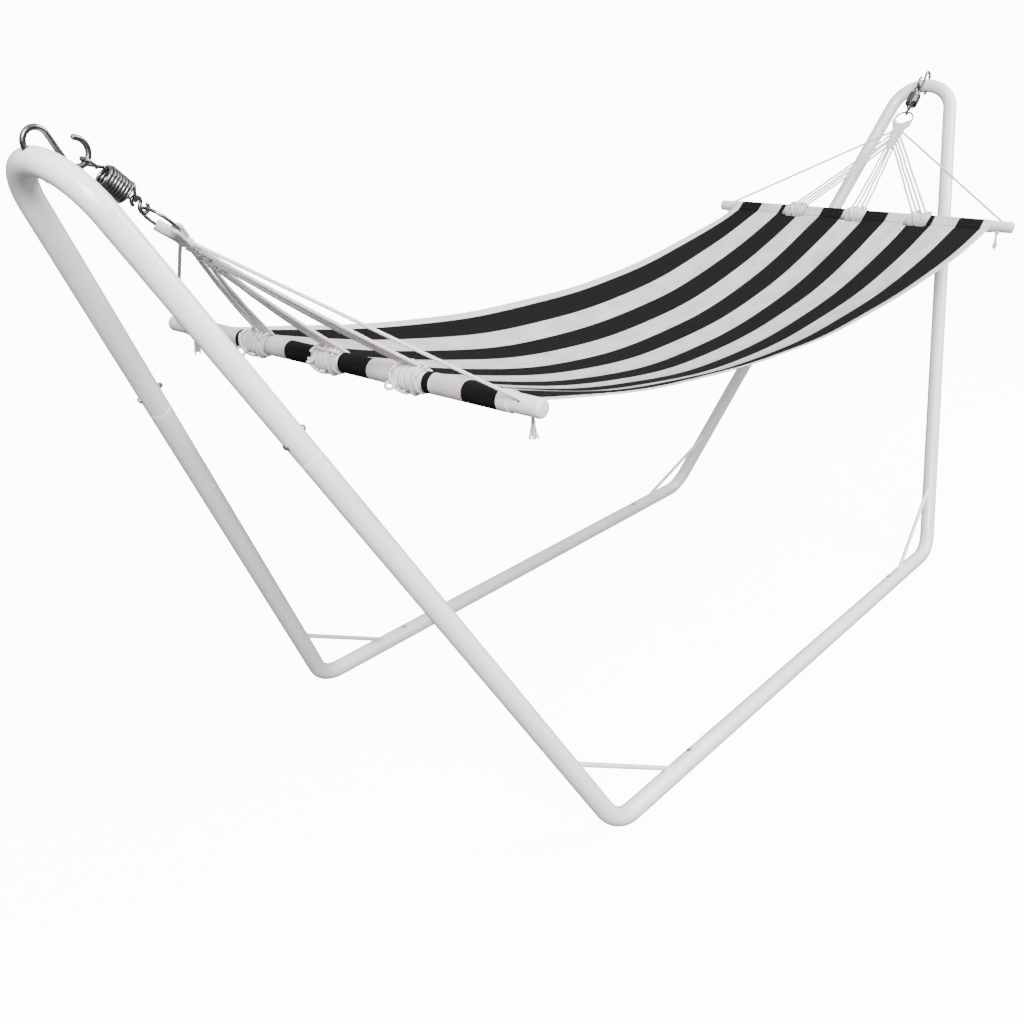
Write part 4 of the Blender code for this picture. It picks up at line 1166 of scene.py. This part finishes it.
def spreader_bar(side):
    """A round bar with softened ends, drilled near each end along the pull."""
    bed = settings()[2]
    half, radius = bed.bar_length / 2, bed.bar / 2
    ease = np.sin(np.radians((0.0, 18.0, 36.0, 54.0, 72.0, 90.0)))
    reach = radius - 0.005 + 0.005 * ease
    places = np.concatenate((-half + 0.005 * (1 - np.cos(np.radians((0, 18, 36, 54, 72, 90)))),
                             np.linspace(-half + 0.02, half - 0.02, 12),
                             half - 0.005 * (1 - np.cos(np.radians((90, 72, 54, 36, 18, 0))))))
    reach = np.concatenate((reach, np.full(12, radius), reach[::-1]))
    path = bar_centre(side) + places[:, None] * ACROSS
    wood = finish_named("white_painted_wood")
    item = put("spreader_bar_" + SIDES[side] + "_turned", carried(path, UP, reach, 48), wood)
    drill(item, [(bar_centre(side) + depth * (half - bed.hole_inset) * ACROSS, pull(side),
                  2 * bed.bar, bed.bar_hole / 2) for depth in (FRONT, REAR)], wood)
    fit(item, "hammock", "painted_wood", "spreader_bar_" + SIDES[side])


def bed_surface(x, across):
    """The hung cloth: parabolas along and across, with soft ripples that fade from the bars."""
    bed = settings()[2]
    half_span = bed.spacing / 2 - (bed.bar / 2 + GAP + bed.sleeve_wall / 2)
    slack = 1.0 - (x / half_span) ** 2
    half = bed.width / 2
    trough = bed.trough * slack
    gather = 1.0 - 2.0 / 3.0 * (trough / half) ** 2
    height = bed.height - bed.sag * slack - trough * (1.0 - (across / half) ** 2)
    near = np.exp(-(bed.spacing / 2 - np.abs(x)) / 0.16)
    fade = np.clip(slack * 6.0, 0.0, 1.0)
    ripple = -0.0048 * near * np.cos(2 * math.pi * across / bed.notch_spacing)
    gathers = (0.0019 * near * np.sin(2 * math.pi * across / 0.047 + 9.0 * np.sin(1.3 * x))
               * (0.6 + 0.4 * np.sin(11.0 * across + 4.0 * x)))
    folds = 0.0011 * np.sin(2 * math.pi * across / 0.117 + 1.3 * np.sin(2.1 * x)) * np.cos(1.9 * x + 0.4)
    waves = 0.0009 * np.sin(9.0 * x + 5.0 * across) + 0.0006 * np.sin(17.0 * x - 9.0 * across)
    height = height + fade * (ripple + gathers + folds + waves)
    return np.stack((x, gather * across, height), axis=-1)


def notch_share(across):
    """One inside the notches of the sleeve, nought outside, with rounded corners."""
    bed = settings()[2]
    centres = np.array((-1, 0, 1)) * bed.notch_spacing
    away = np.min(np.abs(np.asarray(across)[..., None] - centres), axis=-1)
    share = np.clip((bed.notch / 2 + 0.001 - away) / 0.006, 0.0, 1.0)
    return share * share * (3 - 2 * share)


def bed_panel():
    """The sheet between the seams: each column runs from one sleeve seam or notch to the other."""
    bed = settings()[2]
    inner = bed.width / 2 - bed.hem - GAP
    across = np.linspace(-inner, inner, 168)
    seam = bed.spacing / 2 - bed.stitch + 0.0012
    notch = bed.spacing / 2 - bed.bar / 2 - bed.notch_depth
    end = seam + notch_share(across) * (notch - seam)
    share = np.sin(np.linspace(-math.pi / 2, math.pi / 2, 121))
    share = 0.6 * share + 0.4 * np.linspace(-1.0, 1.0, 121)
    x = share[:, None] * end[None, :]
    points = bed_surface(x, np.broadcast_to(across, x.shape))
    along = bed.spacing / 2 + 0.06 + share * (bed.spacing / 2)
    return grid_skin(points[:, ::-1], across[::-1], along)


def bar_sleeve(side, start, end):
    """A sleeve: from the seam by a tangent over the bar, round it, and back to the seam below."""
    bed = settings()[2]
    across = np.linspace(start, end, max(6, int((end - start) / 0.005)))
    seam_x = side * (bed.spacing / 2 - bed.stitch)
    seam = bed_surface(np.full(len(across), seam_x), across)
    seam[:, 1] = across
    centre = bar_centre(side) * np.array((1, 0, 1)) + across[:, None] * ACROSS
    reach = bed.bar / 2 + GAP + bed.cloth / 2 + 0.0002
    away = seam - centre
    distance = np.linalg.norm(away, axis=1)
    start_angle = np.arctan2(away[:, 2], away[:, 0] * side)
    open_angle = np.arccos(reach / distance)
    turn = np.linspace(0.0, 1.0, 33)[:, None]
    low_angle = start_angle + open_angle
    high_angle = start_angle - open_angle + 2 * math.pi
    angle = low_angle + turn * (high_angle - low_angle)
    ring = (centre[None] + reach * (np.cos(angle)[..., None] * side * ALONG
                                    + np.sin(angle)[..., None] * UP))
    share = np.linspace(0.0, 1.0, 6)[:-1, None, None]
    puckers = 0.0005 * np.sin(2 * math.pi * across / 0.021)[:, None] * UP
    lead = seam[None] * (1 - share) + ring[:1] * share
    tail = (seam[None] * (1 - share) + ring[-1:] * share)[::-1]
    layer = bed.cloth * 0.55 * UP
    sign = 1.0 if ring[2, 0, 2] > centre[0, 2] else -1.0
    lead = lead + sign * layer * (1 - share)
    tail = tail - sign * layer * (1 - share[::-1])
    points = np.vstack((lead + puckers * share * (1 - share) * 4, ring,
                        tail + puckers * (share * (1 - share) * 4)[::-1]))
    along = lengths_along(points[:, 0])
    if side > 0:
        return grid_skin(points[:, ::-1], across[::-1], along)
    return grid_skin(points, across, along)


def striped_bed():
    """The striped sheet with four sleeves round each bar, thickened to its cloth."""
    bed = settings()[2]
    half = bed.notch / 2 - 0.001
    edges = [-bed.width / 2]
    for notch in (-1, 0, 1):
        edges += [notch * bed.notch_spacing - half, notch * bed.notch_spacing + half]
    edges.append(bed.width / 2)
    skins = [bed_panel()]
    for side in (LEFT, RIGHT):
        for start, end in zip(edges[::2], edges[1::2]):
            skins.append(bar_sleeve(side, start, end))
    item = put("bed_striped_sheet", skins, finish_named("striped_cotton"), 60)
    solid = item.modifiers.new("cloth", "SOLIDIFY")
    solid.thickness = bed.cloth
    solid.offset = 0.0
    solid.use_even_offset = True
    freeze(item)
    return fit(item, "hammock", "striped_fabric", "bed_fabric")


def bound_hem(depth):
    """White tape folded over the sheet's edge: a flat oval carried along it, lightly puckered."""
    bed = settings()[2]
    end = bed.spacing / 2 - bed.stitch + 0.004
    x = np.linspace(-end, end, 420)
    middle = depth * (bed.width / 2 - bed.hem / 2)
    centre = bed_surface(x, np.full(len(x), middle))
    out = bed_surface(x, np.full(len(x), middle + 0.002))
    across = unit(out - centre)
    tangent = unit(np.gradient(centre, axis=0))
    normal = np.cross(tangent, across)
    angles = np.arange(22) * 2 * math.pi / 22
    wide = np.sign(np.cos(angles)) * np.abs(np.cos(angles)) ** 0.45 * bed.hem / 2
    thick = np.sign(np.sin(angles)) * np.abs(np.sin(angles)) ** 0.8 * 0.0017
    rim = depth * np.cos(angles)
    pucker = 0.0006 * np.sin(2 * math.pi * x / 0.023 + 1.5 * np.sin(11 * x)) * np.cos(3.1 * x + 1)
    swell = 1.0 + 0.10 * np.sin(2 * math.pi * x / 0.031)
    edge = np.maximum(rim, 0.0)[None, :] ** 4
    offset = thick[None, :] * (swell[:, None] + 0.5 * edge) + pucker[:, None] * (0.4 + rim[None, :]) * 0.8
    points = (centre[:, None, :] + wide[None, :, None] * across[:, None, :]
              + offset[..., None] * normal[:, None, :])
    skin = grid_skin(points, np.linspace(0.0, 1.0, 23), lengths_along(centre), False, True, True)
    item = put("hem_" + DEPTHS[depth] + "_tape", skin, finish_named("white_cotton_tape"), 60)
    return fit(item, "hammock", "white_binding", "hem_" + DEPTHS[depth])


# ---------------------------------------------------------------- stage

def studio_floor():
    """A pale floor that rises in a quarter circle to a backdrop behind the hammock."""
    bend = np.linspace(0.0, math.pi / 2, 24)
    run = np.concatenate((np.linspace(-9.0, 6.0, 16), 6.0 + 3.0 * np.sin(bend), [9.0]))
    rise = np.concatenate((np.zeros(16), 3.0 * (1 - np.cos(bend)), [9.0]))
    view = unit(np.array((0.755, 0.656, 0.0)))
    other = np.array((-view[1], view[0], 0.0))
    width = np.linspace(-12.0, 12.0, 9)
    points = (run[:, None, None] * view + width[None, :, None] * other
              + rise[:, None, None] * UP - 0.0005 * UP)
    return grid_skin(points[:, ::-1], width[::-1], run)


def soft_light(name, place, target, width, power):
    """A large square light that faces a point."""
    lamp = bpy.data.lights.new(name, "AREA")
    lamp.shape = "SQUARE"
    lamp.size = width
    lamp.energy = power
    item = bpy.data.objects.new(name, lamp)
    bpy.context.scene.collection.objects.link(item)
    back = unit(np.array(place) - np.array(target))
    right = unit(np.cross(UP, back))
    item.matrix_world = matrix_of(right, np.cross(back, right), back, place)


def matrix_of(right, up, back, place):
    """A placing matrix from three axes and a point."""
    rows = [[right[i], up[i], back[i], place[i]] for i in range(3)]
    return Matrix(rows + [[0.0, 0.0, 0.0, 1.0]])


# ---------------------------------------------------------------- operators

class HAMMOCK_OT_stage(bpy.types.Operator):
    """Make the floor, the soft lights and the camera"""
    bl_idname = "hammock.stage"
    bl_label = "Stage"

    def execute(self, context):
        colour = tuple(settings()[3].floor)
        finish = Finish("pale_floor", colour, 0.8)
        tone = finish.spread(finish.noise(0.6, 2.0), 0.3, 0.7)
        finish.wire("Base Color", finish.blend(tone, scaled(colour, 0.99), scaled(colour, 1.01)))
        finish.set(Emission_Color=(1.0, 1.0, 1.0, 1.0), Emission_Strength=11.0, Specular_IOR_Level=0.0)
        floor = put("studio_floor", studio_floor(), finish.material)
        floor.visible_diffuse = False
        floor.visible_glossy = False
        world = bpy.data.worlds.new("soft_studio")
        world.use_nodes = True
        background = world.node_tree.nodes["Background"]
        background.inputs["Strength"].default_value = 1.0
        nodes, links = world.node_tree.nodes, world.node_tree.links
        direction = nodes.new("ShaderNodeTexCoord")
        height = nodes.new("ShaderNodeSeparateXYZ")
        sky = nodes.new("ShaderNodeValToRGB")
        links.new(direction.outputs["Generated"], height.inputs[0])
        level = nodes.new("ShaderNodeMapRange")
        level.inputs["From Min"].default_value = -1.0
        links.new(height.outputs[2], level.inputs["Value"])
        links.new(level.outputs["Result"], sky.inputs["Fac"])
        links.new(sky.outputs["Color"], background.inputs["Color"])
        ramp = sky.color_ramp.elements
        for spot, shade in ((0.49, 0.20), (0.60, 0.55)):
            ramp.new(spot).color = (shade, shade, shade * 1.04, 1.0)
        ramp[0].color = (0.30, 0.30, 0.31, 1.0)
        ramp[3].color = (1.25, 1.25, 1.25, 1.0)
        ramp[3].position = 0.80
        context.scene.world = world
        soft_light("key_light", (-3.4, -3.0, 3.6), (0.0, 0.0, 0.6), 2.2, 620.0)
        soft_light("fill_light", (2.2, -2.6, 3.6), (0.6, 0.0, 0.5), 2.4, 300.0)
        lens = bpy.data.cameras.new("viewpoint")
        lens.lens = 37.892
        lens.sensor_width = 36.0
        lens.clip_end = 60.0
        camera = bpy.data.objects.new("viewpoint", lens)
        right = unit((0.6458, -0.7633, -0.0172))
        forward = square_to((0.6986, 0.5998, -0.3902), right)
        camera.matrix_world = matrix_of(right, np.cross(right, forward), -forward,
                                        (-2.1503, -1.3550, 1.3639))
        context.scene.collection.objects.link(camera)
        context.scene.camera = camera
        return {"FINISHED"}


class HAMMOCK_OT_arches(bpy.types.Operator):
    """Make the two arches"""
    bl_idname = "hammock.arches"
    bl_label = "Arches"

    def execute(self, context):
        for side in SIDES:
            arch_tube(side)
        return {"FINISHED"}


class HAMMOCK_OT_corners(bpy.types.Operator):
    """Make the four corner tubes and their welded braces"""
    bl_idname = "hammock.corners"
    bl_label = "Corner Tubes"

    def execute(self, context):
        for side, depth in CORNERS:
            corner_tube(side, depth)
            brace_bar(side, depth)
        return {"FINISHED"}


class HAMMOCK_OT_rails(bpy.types.Operator):
    """Make the two floor rails"""
    bl_idname = "hammock.rails"
    bl_label = "Floor Rails"

    def execute(self, context):
        for depth in DEPTHS:
            floor_rail(depth)
        return {"FINISHED"}


class HAMMOCK_OT_fasteners(bpy.types.Operator):
    """Make the leg bolts, their nuts and the rail screws"""
    bl_idname = "hammock.fasteners"
    bl_label = "Fasteners"

    def execute(self, context):
        for side, depth in CORNERS:
            corner_fasteners(side, depth)
        return {"FINISHED"}


class HAMMOCK_OT_hardware(bpy.types.Operator):
    """Make the S-hooks, springs, links and rings"""
    bl_idname = "hammock.hardware"
    bl_label = "Hooks and Springs"

    def execute(self, context):
        for side in SIDES:
            s_hook(side)
            tension_spring(side)
            small_link(side)
            cord_ring(side)
        return {"FINISHED"}


class HAMMOCK_OT_cords(bpy.types.Operator):
    """Make the woven heads, the cord bundles and the knotted edge cords"""
    bl_idname = "hammock.cords"
    bl_label = "Cord Harness"

    def execute(self, context):
        for side in SIDES:
            woven_head(side)
            for place in PLACES:
                cord_bundle(side, place)
            for depth in DEPTHS:
                edge_cord(side, depth)
        return {"FINISHED"}


class HAMMOCK_OT_bars(bpy.types.Operator):
    """Make the wooden spreader bars"""
    bl_idname = "hammock.bars"
    bl_label = "Spreader Bars"

    def execute(self, context):
        for side in SIDES:
            spreader_bar(side)
        return {"FINISHED"}


class HAMMOCK_OT_bed(bpy.types.Operator):
    """Make the striped bed and its hems"""
    bl_idname = "hammock.bed"
    bl_label = "Striped Bed"

    def execute(self, context):
        sheet = striped_bed()
        hems = [bound_hem(depth) for depth in DEPTHS]
        return {"FINISHED"}


class HAMMOCK_PT_panel(bpy.types.Panel):
    """The operators and sizes of the hammock"""
    bl_idname = "HAMMOCK_PT_panel"
    bl_label = "Hammock on Stand"
    bl_space_type = "VIEW_3D"
    bl_region_type = "UI"
    bl_category = "Hammock"

    def draw(self, context):
        for operator in OPERATORS:
            self.layout.operator(operator.bl_idname)
        for group in settings():
            column = self.layout.column(align=True)
            for name in group.__annotations__:
                column.prop(group, name)


OPERATORS = (HAMMOCK_OT_stage, HAMMOCK_OT_arches, HAMMOCK_OT_corners, HAMMOCK_OT_rails,
             HAMMOCK_OT_fasteners, HAMMOCK_OT_hardware, HAMMOCK_OT_cords, HAMMOCK_OT_bars,
             HAMMOCK_OT_bed)
GROUPS = {"hammock_stand": StandSizes, "hammock_harness": HarnessSizes,
          "hammock_bed": BedSizes, "hammock_colours": Colours}


def register():
    """Register the groups, operators and panel."""
    for name, group in GROUPS.items():
        bpy.utils.register_class(group)
        setattr(bpy.types.Scene, name, PointerProperty(type=group))
    for operator in OPERATORS:
        bpy.utils.register_class(operator)
    bpy.utils.register_class(HAMMOCK_PT_panel)


def unregister():
    """Take the classes away again."""
    bpy.utils.unregister_class(HAMMOCK_PT_panel)
    for operator in reversed(OPERATORS):
        bpy.utils.unregister_class(operator)
    for name, group in reversed(GROUPS.items()):
        delattr(bpy.types.Scene, name)
        bpy.utils.unregister_class(group)


def main():
    """Make the stage and every piece."""
    register()
    for make in (bpy.ops.hammock.stage, bpy.ops.hammock.arches, bpy.ops.hammock.corners,
                 bpy.ops.hammock.rails, bpy.ops.hammock.fasteners, bpy.ops.hammock.hardware,
                 bpy.ops.hammock.cords, bpy.ops.hammock.bars, bpy.ops.hammock.bed):
        make()


if __name__ == "__main__":
    main()
